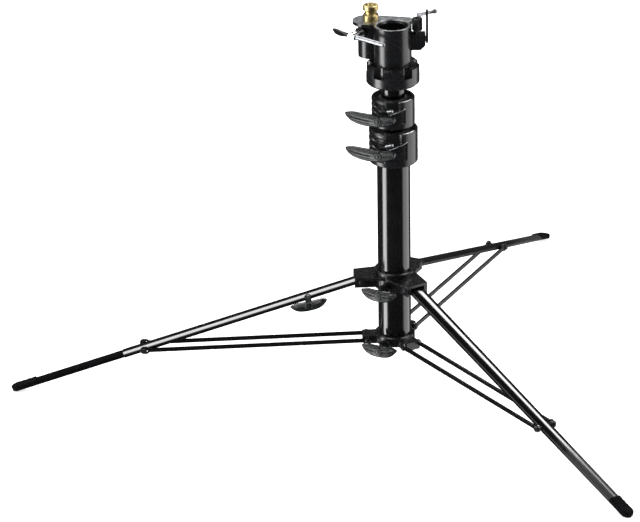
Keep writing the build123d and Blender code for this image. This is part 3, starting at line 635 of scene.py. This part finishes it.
def fixed_leg_piece(name):
    """Folded channel that narrows towards its foot, with the barrel of its hinge."""
    node = f"{name}_leg"
    place = leg_place(name)
    high = local_box(node, place)[1]
    root_half, tip_half = high.y, high.y - LEG_TAPER / 2
    rings = []
    for step in range(LEG_STATIONS + 1):
        share = step / LEG_STATIONS
        half = root_half + (tip_half - root_half) * share
        rings.append(channel_ring(high.x * share, half, LEG_HEIGHT, LEG_CROWN, LEG_WALL))
    dress(loft(f"{node}_channel", place, rings), "leg_paint", node, 0.15, [node])
    barrel = knuckle(f"{node}_barrel", place, LEG_HEIGHT / 2, root_half)
    dress(barrel, "leg_paint", node, 0.2)


def closed_ring(x, half, height, crown):
    """Section of a closed bar with rounded upper folds."""
    return [(x, y, z) for y, z in crowned_top(half, height, crown, LEG_FOLD)]


def sheath_piece():
    """Sheath of the left leg, with the pocket that the sliding leg runs in and the boss of its lock."""
    node = "left_leg_sheath"
    place = leg_place("left")
    low, high = local_box(node, place)
    half = -low.y
    rings = [closed_ring(high.x * step / LEG_STATIONS, half, LEG_HEIGHT, SHEATH_CROWN)
             for step in range(LEG_STATIONS + 1)]
    bore_half, bore_height = SLIDER_HALF_WIDTH + SLIDER_PLAY, 2 * (SLIDER_HALF_HEIGHT + SLIDER_PLAY)
    rings += [closed_ring(x, bore_half, bore_height, SLIDER_CROWN) for x in (high.x, high.x - SHEATH_POCKET)]
    dress(loft(f"{node}_shell", place, rings), "black_gloss_paint", "left_leg", 0.15, [node])
    dress(knuckle(f"{node}_barrel", place, LEG_HEIGHT / 2, half), "black_gloss_paint", "left_leg", 0.2)
    hinge = JOINTS["level_knob_turn"]
    boss = turned(f"{node}_boss", place_at(hinge["pos_m"], hinge["axis"], LEFT_NORMAL), [
        (half - 1.0, 0), (half - 1.0, SHEATH_BOSS_R + 0.8), (half + 0.3, SHEATH_BOSS_R),
        (high.y - 0.5, SHEATH_BOSS_R), (high.y, SHEATH_BOSS_R - 0.5), (high.y, 0),
    ])
    dress(boss, "black_casting", "left_leg", 0.2)


def sliding_leg_piece():
    """Levelling leg: a flat bar in the sheath that steps up to a full channel outside it."""
    node = "left_levelling_leg"
    place = leg_place("left")
    low, high = local_box(node, place)
    sheath_end = local_box("left_leg_sheath", place)[1].x
    start = sheath_end + SLIDER_GAP
    rings = []
    for step in range(LEG_STATIONS + 1):
        x = start + (high.x - start) * step / LEG_STATIONS
        rings.append(channel_ring(x, high.y, LEG_HEIGHT, LEG_CROWN, LEG_WALL))
    dress(loft(f"{node}_channel", place, rings), "black_satin_paint", "left_slider", 0.15, [node])
    bar_rings = [closed_ring(x, SLIDER_HALF_WIDTH, 2 * SLIDER_HALF_HEIGHT, SLIDER_CROWN)
                 for x in (low.x, start + SLIDER_ENTRY)]
    dress(loft(f"{node}_bar", place, bar_rings), "black_satin_paint", "left_slider", 0.15)
    block_rings = [closed_ring(x, high.y - LEG_WALL, LEG_HEIGHT - LEG_WALL, LEG_CROWN)
                   for x in (start + BLOCK_FROM, start + BLOCK_TO)]
    dress(loft(f"{node}_block", place, block_rings), "black_satin_paint", "left_slider", 0.15)


fixed_leg_piece("front")
fixed_leg_piece("back")
sheath_piece()
sliding_leg_piece()


# ---- feet ----
def foot_piece(name, body):
    """Moulded foot: a rounded sleeve with grip ribs and a blunt nose."""
    node = f"{name}_foot"
    place = leg_place(name)
    low, high = local_box(node, place)
    half_y, half_z = high.y, high.z
    rings = []
    for step in range(FOOT_STATIONS + 1):
        share = step / FOOT_STATIONS
        x = low.x + (high.x - low.x) * share
        nose = min((high.x - x) / half_y, 1.0)
        plan = sqrt(max(1 - (1 - nose) ** 2, 0.004))
        ribbed = FOOT_RIB_FROM < share < FOOT_RIB_TO
        rib = FOOT_RIB_DEPTH * (0.5 + 0.5 * cos(2 * pi * FOOT_RIBS * share)) if ribbed else 0.0
        thick = min(1.0, FOOT_NOSE_THICKNESS + FOOT_NOSE_SWELL * plan) * half_z
        section = rounded_section(half_y * plan - rib, thick - rib * 0.6, FOOT_SQUARENESS, FOOT_SIDES)
        rings.append([(x, y, z) for y, z in section])
    foot = loft(f"{node}_cap", place, rings)
    dress(foot, "foot_plastic", body, 0.25, [node])


foot_piece("left", "left_slider")
foot_piece("front", "front_leg")
foot_piece("back", "back_leg")


# ---- collars ----
def step_up(value, start, width):
    """Smooth step from 0 to 1 that begins at start."""
    share = min(max((value - start) / width, 0.0), 1.0)
    return share * share * (3 - 2 * share)


def ramp_at(turn):
    """Height share of the ramp at an angle from the front."""
    return RAMP_FOOT + (RAMP_HEAD - RAMP_FOOT) * (turn - WINDOW_LEFT) / (RAMP_RIGHT - WINDOW_LEFT)


def relief(turn, share):
    """Depth of a collar's face below its full radius: ribs on the left, a window, then plain shell."""
    ribbed = step_up(turn, RIB_LEFT, 4.0) * (1 - step_up(turn, WINDOW_LEFT - 3.0, 3.0))
    wave = 0.5 + 0.5 * cos(2 * pi * RIB_COUNT * share)
    between_lips = step_up(share, 0.08, 0.06) * (1 - step_up(share, 0.93, 0.04))
    rib = RIB_DEPTH * step_up(wave, 0.25, 0.5) * between_lips
    open_front = step_up(turn, WINDOW_LEFT, 2.5)
    above = step_up(share, ramp_at(turn), RAMP_EDGE)
    window = WINDOW_DEPTH * open_front * (1 - step_up(turn, WINDOW_RIGHT, 2.0)) * above
    below = 1 - step_up(share, ramp_at(turn) - 2 * RAMP_EDGE, RAMP_EDGE)
    left_of_end = 1 - step_up(turn, RAMP_RIGHT - 3.0, 3.0)
    apron = LIP_STEP * open_front * left_of_end * below * step_up(share, 0.2, 0.05)
    return ribbed * rib + window + apron


def signed_turn(turn):
    """Angle from the front in degrees, from -180 to 180."""
    return (turn + 180) % 360 - 180


def round_axis(turn, radius, z):
    """Point at an angle from the front of the stand, positive to the right."""
    angle = radians(turn - 90)
    return (z, radius * sin(angle), radius * cos(angle))


def collar_piece(name, body, joint):
    """Moulded collar: relief shell with a cupped top, the boss of its screw, bright metal beads along its top rim
    and ramp that are painted highlights, and a bright pivot barrel.
    """
    node = f"{name}_riser_collar"
    low, high = (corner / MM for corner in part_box(node))
    outer, bore = COLLAR_RADII[name], COLLAR_BORES[name]
    tall = high.z - low.z
    turns = [360 * i / SHELL_SIDES for i in range(SHELL_SIDES)]
    rings = [[round_axis(turn, bore, low.z) for turn in turns]]
    for row in range(SHELL_ROWS + 1):
        share = row / SHELL_ROWS
        z = low.z + tall * share
        edge = max(0.0, COLLAR_LIP - min(z - low.z, high.z - z))
        depths = [relief(signed_turn(turn), share) for turn in turns]
        rings.append([round_axis(turn, outer - edge - depth, z) for turn, depth in zip(turns, depths)])
    inside = outer - COLLAR_WALL - COLLAR_LIP * 0.5
    rings.append([round_axis(turn, inside, high.z - 0.2) for turn in turns])
    rings.append([round_axis(turn, inside - 0.3, high.z - COLLAR_CUP) for turn in turns])
    rings.append([round_axis(turn, bore, high.z - COLLAR_CUP - 0.3) for turn in turns])
    dress(loft(f"{node}_shell", UPRIGHT, rings, looped=True), "black_casting", body, 0, [node])
    hinge = JOINTS[joint]
    place = place_at(hinge["pos_m"], hinge["axis"])
    face = local_box(node, place)[1].x
    boss = turned(f"{node}_boss", place, [
        (outer - 5.0, 0), (outer - 5.0, COLLAR_BOSS_R), (face - 0.8, COLLAR_BOSS_R),
        (face, COLLAR_BOSS_R - 0.8), (face, 0),
    ])
    dress(boss, "black_casting", body, 0.3)
    # Rim and ramp beads: bright metal strips laid along these edges as painted highlights.
    rim = [(turn, outer - 0.5, high.z - 0.25) for turn in RIM_HIGHLIGHT_TURNS]
    ramp = [(turn, outer - 0.15, low.z + tall * (ramp_at(turn) - 0.03)) for turn in RAMP_HIGHLIGHT_TURNS]
    bead(f"{node}_rim", body, rim, RIM_HIGHLIGHT_BEAD_R)
    bead(f"{node}_ramp", body, ramp, RAMP_HIGHLIGHT_BEAD_R)
    barrel = [(turn, outer - 0.2, low.z + tall * (0.70 + 0.003 * turn)) for turn in BARREL_TURNS]
    bead(f"{node}_barrel", body, barrel, BARREL_R)


def bead(name, body, path, radius):
    """Rounded bare-alloy bead along a path of (turn, radius, height) round the column; on a collar's rim and ramp
    it is a painted highlight, and on its barrel a metal pivot.
    """
    points = [Vector(round_axis(*point)) for point in path]
    rings = []
    for i, point in enumerate(points):
        along = (points[min(i + 1, len(points) - 1)] - points[max(i - 1, 0)]).normalized()
        out = Vector((0, point.y, point.z)).normalized()
        side = along.cross(out)
        ends = min(i, len(points) - 1 - i)
        size = radius * (0.5 if ends == 0 else 0.85 if ends == 1 else 1.0)
        rings.append([point + (out * cos(turn) + side * sin(turn)) * size
                      for turn in [2 * pi * k / BEAD_SIDES for k in range(BEAD_SIDES)]])
    dress(loft(name, UPRIGHT, rings), "bare_alloy", body, 0)


UPRIGHT = Matrix(((0, 0, 1, 0), (0, 1, 0, 0), (1, 0, 0, 0), (0, 0, 0, 1)))
collar_piece("lower", "column", "lower_lever_turn")
collar_piece("upper", "riser_1", "upper_lever_turn")


# ---- head ----
def upright_at(x, y):
    """Placement with +X up, on a vertical axis given in millimetres."""
    return place_at((x * MM, y * MM, 0), UP, Vector((-1, 0, 0)))


def spigot_piece():
    """Turned brass spigot: rounded shoulders, coved neck and a threaded hole in its end."""
    low, high = (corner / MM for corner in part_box("brass_spigot"))
    place = upright_at((low.x + high.x) / 2, (low.y + high.y) / 2)
    full, top = (high.x - low.x) / 2, high.z
    neck_low, neck_high = top - SPIGOT_NECK_LOW, top - SPIGOT_NECK_HIGH
    profile = [
        (low.z, 0), (low.z, full - 0.8), (low.z + 0.8, full),
        (neck_low - 0.7, full), (neck_low - 0.2, full - 0.3), (neck_low + 0.3, SPIGOT_NECK_R + 0.7),
        (neck_low + 1.0, SPIGOT_NECK_R), (neck_high - 1.2, SPIGOT_NECK_R),
        (neck_high - 0.5, SPIGOT_NECK_R + 0.5), (neck_high, full - 0.4), (neck_high + 0.5, full),
        (top - 1.2, full), (top - 0.4, full - 0.3), (top, full - 1.1), (top, SPIGOT_HOLE_R + 0.7),
        (top - 0.7, SPIGOT_HOLE_R),
    ]
    pitch = (SPIGOT_HOLE_DEPTH - 1.5) / SPIGOT_THREADS
    for turn in range(SPIGOT_THREADS):
        z = top - 0.8 - pitch * turn
        profile += [(z - pitch * 0.3, SPIGOT_HOLE_R - 0.35), (z - pitch * 0.8, SPIGOT_HOLE_R + 0.1)]
    profile += [(top - SPIGOT_HOLE_DEPTH, SPIGOT_HOLE_R - 0.3), (top - SPIGOT_HOLE_DEPTH, 0)]
    dress(turned("spigot_turning", place, profile), "brass", "spigot", 0, ["brass_spigot"])


def mouth_piece():
    """Machined lip round the socket's mouth."""
    top = HEAD_TOP
    profile = [
        (top - 1.4, MOUTH_R - 0.4), (top - 0.3, MOUTH_R), (top + 0.3, MOUTH_R + 0.5),
        (top + 0.5, MOUTH_R + 1.3), (top + 0.3, MOUTH_OUTER_R - 0.5),
        (top - 0.4, MOUTH_OUTER_R), (top - 1.4, MOUTH_OUTER_R - 0.2),
    ]
    dress(turned("socket_mouth_lip", AXIS, profile, looped=True), "machined_face", "riser_2", 0)


def deck_outline():
    """Outline of the head's top face: the hull of its two lobes, cut back round the socket."""
    points = []
    for x, y, radius in LOBES:
        for step in range(TURNED_SIDES):
            turn = 2 * pi * step / TURNED_SIDES
            points.append(Vector((x + radius * cos(turn), y + radius * sin(turn))))
    hull = [points[i] for i in convex_hull_2d(points)]
    dense = []
    for first, second in zip(hull, hull[1:] + hull[:1]):
        count = max(1, int((second - first).length / DECK_SPACING))
        dense += [first.lerp(second, k / count) for k in range(count)]
    inside = [point.length < MOUTH_OUTER_R for point in dense]
    start = next(i for i in range(len(dense)) if inside[i - 1] and not inside[i])
    rim = dense[start:] + dense[:start]
    rim = [point for point in rim if point.length >= MOUTH_OUTER_R]
    first_turn, last_turn = atan2(rim[0].y, rim[0].x), atan2(rim[-1].y, rim[-1].x) % (2 * pi)
    arc = [last_turn + (first_turn - last_turn) * k / DECK_ARC_STEPS for k in range(1, DECK_ARC_STEPS)]
    return rim + [Vector((MOUTH_OUTER_R * cos(turn), MOUTH_OUTER_R * sin(turn))) for turn in arc]


def deck_piece():
    """Milled top face of the head, bored for the spigot."""
    low, high = (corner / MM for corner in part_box("brass_spigot"))
    centre = Vector(((low.x + high.x) / 2, (low.y + high.y) / 2))
    bore = (high.x - low.x) / 2 + SPIGOT_BORE_PLAY
    turns = [2 * pi * k / SPIGOT_BORE_SIDES for k in range(SPIGOT_BORE_SIDES)]
    hole = [centre + Vector((bore * cos(turn), bore * sin(turn))) for turn in turns]
    mesh = bmesh.new()
    for loop in (deck_outline(), hole):
        verts = [mesh.verts.new((point.x * MM, point.y * MM, (HEAD_TOP - DECK_SINK) * MM)) for point in loop]
        for first, second in zip(verts, verts[1:] + verts[:1]):
            mesh.edges.new((first, second))
    bmesh.ops.triangle_fill(mesh, use_beauty=True, edges=mesh.edges[:])
    lifted = bmesh.ops.extrude_face_region(mesh, geom=mesh.faces[:])
    moved = [item for item in lifted["geom"] if isinstance(item, bmesh.types.BMVert)]
    bmesh.ops.translate(mesh, vec=(0, 0, (DECK_RISE + DECK_SINK) * MM), verts=moved)
    bmesh.ops.recalc_face_normals(mesh, faces=mesh.faces)
    dress(to_object("head_milled_top", mesh), "machined_face", "riser_2", 0.1)


def tommy_bar_piece():
    """Sliding bar with a rounded end on the right and a flat flared paddle on the left."""
    node = "spigot_lock_bar"
    hinge = JOINTS["spigot_screw_turn"]
    place = place_at(hinge["pos_m"], hinge["axis"])
    low, high = local_box(node, place)
    middle = (low.x + high.x) / 2
    roll = radians(PADDLE_ROLL)
    stations = [(low.y + PADDLE_LENGTH * share, wide * PADDLE_HALF_WIDTH, thin * PADDLE_HALF_THICKNESS)
                for share, wide, thin in PADDLE_SHAPE]
    nose = high.y - BAR_NOSE
    stations += [(y, BAR_R, BAR_R) for y in (low.y + PADDLE_LENGTH, low.y + DULL_LENGTH, nose)]
    stations += [(nose + BAR_NOSE * sin(turn), BAR_R * cos(turn), BAR_R * cos(turn))
                 for turn in [radians(angle) for angle in (20, 40, 60, 75, 86)]]
    rings = []
    for y, wide, thin in stations:
        ring = []
        for a, b in rounded_section(wide, thin, BAR_SQUARENESS, BAR_SIDES):
            ring.append((middle + a * sin(roll) + b * cos(roll), y, a * cos(roll) - b * sin(roll)))
        rings.append(ring)
    paddle_end = next(i for i, station in enumerate(stations) if station[0] >= low.y + DULL_LENGTH) + 1
    dress(loft("tommy_bar_rod", place, rings[paddle_end - 1:]), "zinc_steel", "tommy_bar", 0, [node])
    dress(loft("tommy_bar_paddle", place, rings[:paddle_end]), "dull_plate", "tommy_bar", 0)


def cross_bar_piece():
    """Cross bar of the socket lever, with a swelling at each end."""
    node = "socket_lock_bar"
    low, high = (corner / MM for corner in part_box(node))
    along = Vector((high.x - low.x - 2 * BAR_R, high.y - low.y - 2 * BAR_R, 0)).normalized()
    centre = (low + high) / 2 * MM
    place = place_at(centre, along)
    half = local_box(node, place)[1].x
    profile = []
    for side in (-1, 1):
        end = [
            (half, 0), (half, WING_R - 0.9), (half - 0.6, WING_R), (half - 3.0, WING_R), (half - 4.2, 1.7),
        ]
        profile += [(side * x, radius) for x, radius in (end if side < 0 else reversed(end))]
    dress(turned("cross_bar_turning", place, profile), "zinc_steel", "socket_lever", 0.15, [node])


def cap_piece():
    """Knurled cap on its post."""
    low, high = (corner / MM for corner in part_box("lug_post_cap"))
    full = (high.x - low.x) / 2
    place = upright_at((low.x + high.x) / 2, (low.y + high.y) / 2)
    rings = []
    bottom, top = low.z, high.z
    for z, radius, cut in (
        (bottom, full - 0.6, 0.0), (bottom + 0.6, full, 0.0),
        (bottom + 1.0, full, CAP_KNURL_DEPTH), (top - 1.2, full, CAP_KNURL_DEPTH),
        (top - 0.8, full - 0.1, 0.0), (top - 0.1, full - 0.7, 0.0),
        (top, full - 1.2, 0.0), (top - 0.6, full - 1.9, 0.0),
    ):
        turns = [2 * pi * k / CAP_SIDES for k in range(CAP_SIDES)]
        sizes = [radius - cut * (0.5 + 0.5 * cos(CAP_KNURLS * turn)) for turn in turns]
        rings.append([(z, size * cos(turn), size * sin(turn)) for turn, size in zip(turns, sizes)])
    dress(loft("knurled_cap", place, rings), "grip_plastic", "riser_2", 0, ["lug_post_cap"])


HEAD_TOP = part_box("head_casting")[1].z / MM
spigot_piece()
mouth_piece()
deck_piece()
tommy_bar_piece()
cross_bar_piece()
cap_piece()


# ---- fasteners ----
def dome(start, radius, height):
    """Profile of a domed head, from its seat outwards."""
    return [
        (start, 0), (start, radius), (start + height * 0.35, radius),
        (start + height * 0.75, radius * 0.75), (start + height, radius * 0.3), (start + height, 0),
    ]


def cross_fastener(name, place, body, reach, stands_for=(), nut=False):
    """Shank with a domed head at one end and a second head or a hexagon nut at the other."""
    shank = turned(f"{name}_shank", place, [(-reach, 0), (-reach, PIN_R), (reach, PIN_R), (reach, 0)])
    dress(shank, "black_steel", body, 0.1, stands_for)
    turned_place = place @ Matrix.Rotation(pi, 4, "Z")
    for side, end in (("a", place), ("b", turned_place)):
        if nut and side == "b":
            rings = [circle(x, PIN_HEAD_R + NUT_EXTRA, 6) for x in (reach, reach + PIN_HEAD)]
            head = loft(f"{name}_nut", end, rings)
        else:
            head = turned(f"{name}_head_{side}", end, dome(reach, PIN_HEAD_R, PIN_HEAD))
        dress(head, "black_steel", body, 0.25)


def hinge_pin(name, joint, body, reach, node):
    """Riveted pin on a hinge's axis."""
    hinge = JOINTS[joint]
    cross_fastener(name, place_at(hinge["pos_m"], hinge["axis"]), body, reach, [node])


def bolt_piece(name):
    """Brace bolt of a fixed leg with its nut."""
    node = f"{name}_brace_bolt"
    place = leg_place(name)
    low, high = local_box(node, place)
    centre = Matrix.Translation(Vector(((low.x + high.x) / 2 * MM, 0, 0)))
    turned_place = place @ centre @ Matrix.Rotation(pi / 2, 4, "Z")
    cross_fastener(node, turned_place, f"{name}_leg", high.y - PIN_HEAD, [node], nut=True)


for name in LEGS:
    hinge_pin(f"{name}_leg_pin", f"{name}_leg_fold", "upper_slider", LEG_PIN_REACH, "leg_hinge_pins")
    hinge_pin(
        f"{name}_brace_pin", f"{name}_brace_fold", "lower_slider", BRACE_PIN_REACH, "brace_hinge_pins"
    )
for name in ("front", "back"):
    bolt_piece(name)


# ---- carried-over CAD nodes ----
EDGE_WIDTHS = {"black_casting": 0.7, "black_gloss_paint": 0.3, "black_steel": 0.25, "zinc_steel": 0.2}


def keep_node(node, cad):
    """CAD node shown as it is, with its facets merged and its edges eased."""
    slot = SLOT_OF[node]
    cad.data.materials.clear()
    cad.data.materials.append(MATERIALS[slot])
    weld = cad.modifiers.new("weld", "WELD")
    weld.merge_threshold = 0.002 * MM
    flat = cad.modifiers.new("flat", "DECIMATE")
    flat.decimate_type = "DISSOLVE"
    flat.angle_limit = radians(0.3)
    round_edges(cad, EDGE_WIDTHS.get(slot, 0.25), 2)
    cad.data.shade_smooth()
    normals = cad.modifiers.new("normals", "WEIGHTED_NORMAL")
    normals.keep_sharp = True


for node, cad in frame["nodes"].items():
    if not cad.hide_render:
        keep_node(node, cad)


# ---- studio ----
def floor_piece():
    """Pale floor. It stays out of reflections, so that black gloss reads as black."""
    mesh = bmesh.new()
    bmesh.ops.create_grid(mesh, x_segments=1, y_segments=1, size=7.0)
    floor = to_object("studio_floor", mesh)
    floor.location = (0, 1.5, 0)
    made = Finish("studio_floor", (0.86, 0.86, 0.86), roughness=0.8)
    made.mottle(0.6, 0.995, 1.005)
    made.polish(0.4, 0.02)
    made.shader.inputs["Emission Color"].default_value = (1, 1, 1, 1)
    made.shader.inputs["Emission Strength"].default_value = 0.82
    floor.data.materials.append(made.done())
    floor.visible_glossy = False
    floor.visible_shadow = False


# Panels of the studio dome: azimuth (0 is straight behind the stand, positive to the right),
# elevation, half-width, half-height and soft edge in degrees, and strength.
PANELS = (
    (-28, 47, 15, 9, 3, 8.0),
    (21, 45, 9, 7, 3, 13.0),
    (-112, -24, 8, 24, 12, 8.0),
    (84, -24, 22, 24, 16, 2.0),
    (90, 35, 14, 22, 4, 2.0),
    (-95, 30, 14, 22, 4, 2.0),
)
AMBIENT = 0.035
# Soft boxes: name, place and aim in metres, side in metres and watts.
LAMPS = (
    ("key", (-1.2, -1.6, 2.4), (0, 0, 0.15), 1.6, 26),
    ("fill", (1.8, -0.6, 2.0), (0, 0, 0.15), 1.2, 12),
)


def studio_dome():
    """World light: a dim dome with soft-edged panels."""
    world = bpy.data.worlds.new("studio")
    bpy.context.scene.world = world
    world.use_nodes = True
    tree = world.node_tree
    back = tree.nodes["Background"]

    def add(kind, values, **settings):
        """One node with its inputs in order."""
        made = tree.nodes.new(kind)
        for key, value in settings.items():
            setattr(made, key, value)
        for index, value in enumerate(values):
            if isinstance(value, bpy.types.NodeSocket):
                tree.links.new(value, made.inputs[index])
            else:
                made.inputs[index].default_value = value
        return made

    def math(operation, *values):
        """Result of one operation on values or sockets."""
        return add("ShaderNodeMath", values, operation=operation).outputs[0]

    def side(value, middle, half, soft):
        """1 within half degrees of the middle, falling to 0 over the soft edge."""
        away = math("ABSOLUTE", math("SUBTRACT", value, radians(middle)))
        edge = (radians(half), radians(half + soft), 1.0, 0.0)
        return add("ShaderNodeMapRange", (away, *edge), interpolation_type="SMOOTHSTEP").outputs[0]

    direction = add("ShaderNodeTexCoord", ()).outputs["Generated"]
    split = add("ShaderNodeSeparateXYZ", (direction,))
    azimuth = math("ARCTAN2", split.outputs[0], split.outputs[1])
    elevation = math("ARCSINE", split.outputs[2])
    total = AMBIENT
    for turn, rise, half_width, half_height, soft, strength in PANELS:
        across = side(azimuth, turn, half_width, soft)
        panel = math("MULTIPLY", across, side(elevation, rise, half_height, soft))
        total = math("ADD", total, math("MULTIPLY", panel, strength))
    tree.links.new(total, back.inputs["Strength"])
    back.inputs["Color"].default_value = (1, 1, 1, 1)


def soft_light(name, place, aim, size, watts):
    """Square soft box aimed at a point."""
    light = bpy.data.lights.new(name, "AREA")
    light.size = size
    light.energy = watts
    made = bpy.data.objects.new(name, light)
    made.location = place
    made.rotation_euler = (Vector(aim) - Vector(place)).to_track_quat("-Z", "Y").to_euler()
    bpy.context.scene.collection.objects.link(made)


def camera():
    """Long lens, looking down at the stand."""
    lens = bpy.data.cameras.new("camera")
    lens.lens = CAMERA_LENS
    lens.sensor_width = CAMERA_SENSOR
    made = bpy.data.objects.new("camera", lens)
    down, turn, roll = radians(CAMERA_DOWN), radians(CAMERA_TURN), radians(CAMERA_ROLL)
    forward = Vector((sin(turn) * cos(down), cos(turn) * cos(down), -sin(down)))
    right = Vector((cos(turn), -sin(turn), 0))
    above = right.cross(forward)
    rolled_right = right * cos(roll) + above * sin(roll)
    rolled_above = above * cos(roll) - right * sin(roll)
    turn_matrix = Matrix((rolled_right, rolled_above, -forward)).transposed().to_4x4()
    made.matrix_world = Matrix.Translation(CAMERA_PLACE) @ turn_matrix
    bpy.context.scene.collection.objects.link(made)
    bpy.context.scene.camera = made


floor_piece()
studio_dome()
for lamp in LAMPS:
    soft_light(*lamp)
camera()
bpy.context.scene.view_settings.view_transform = "Standard"
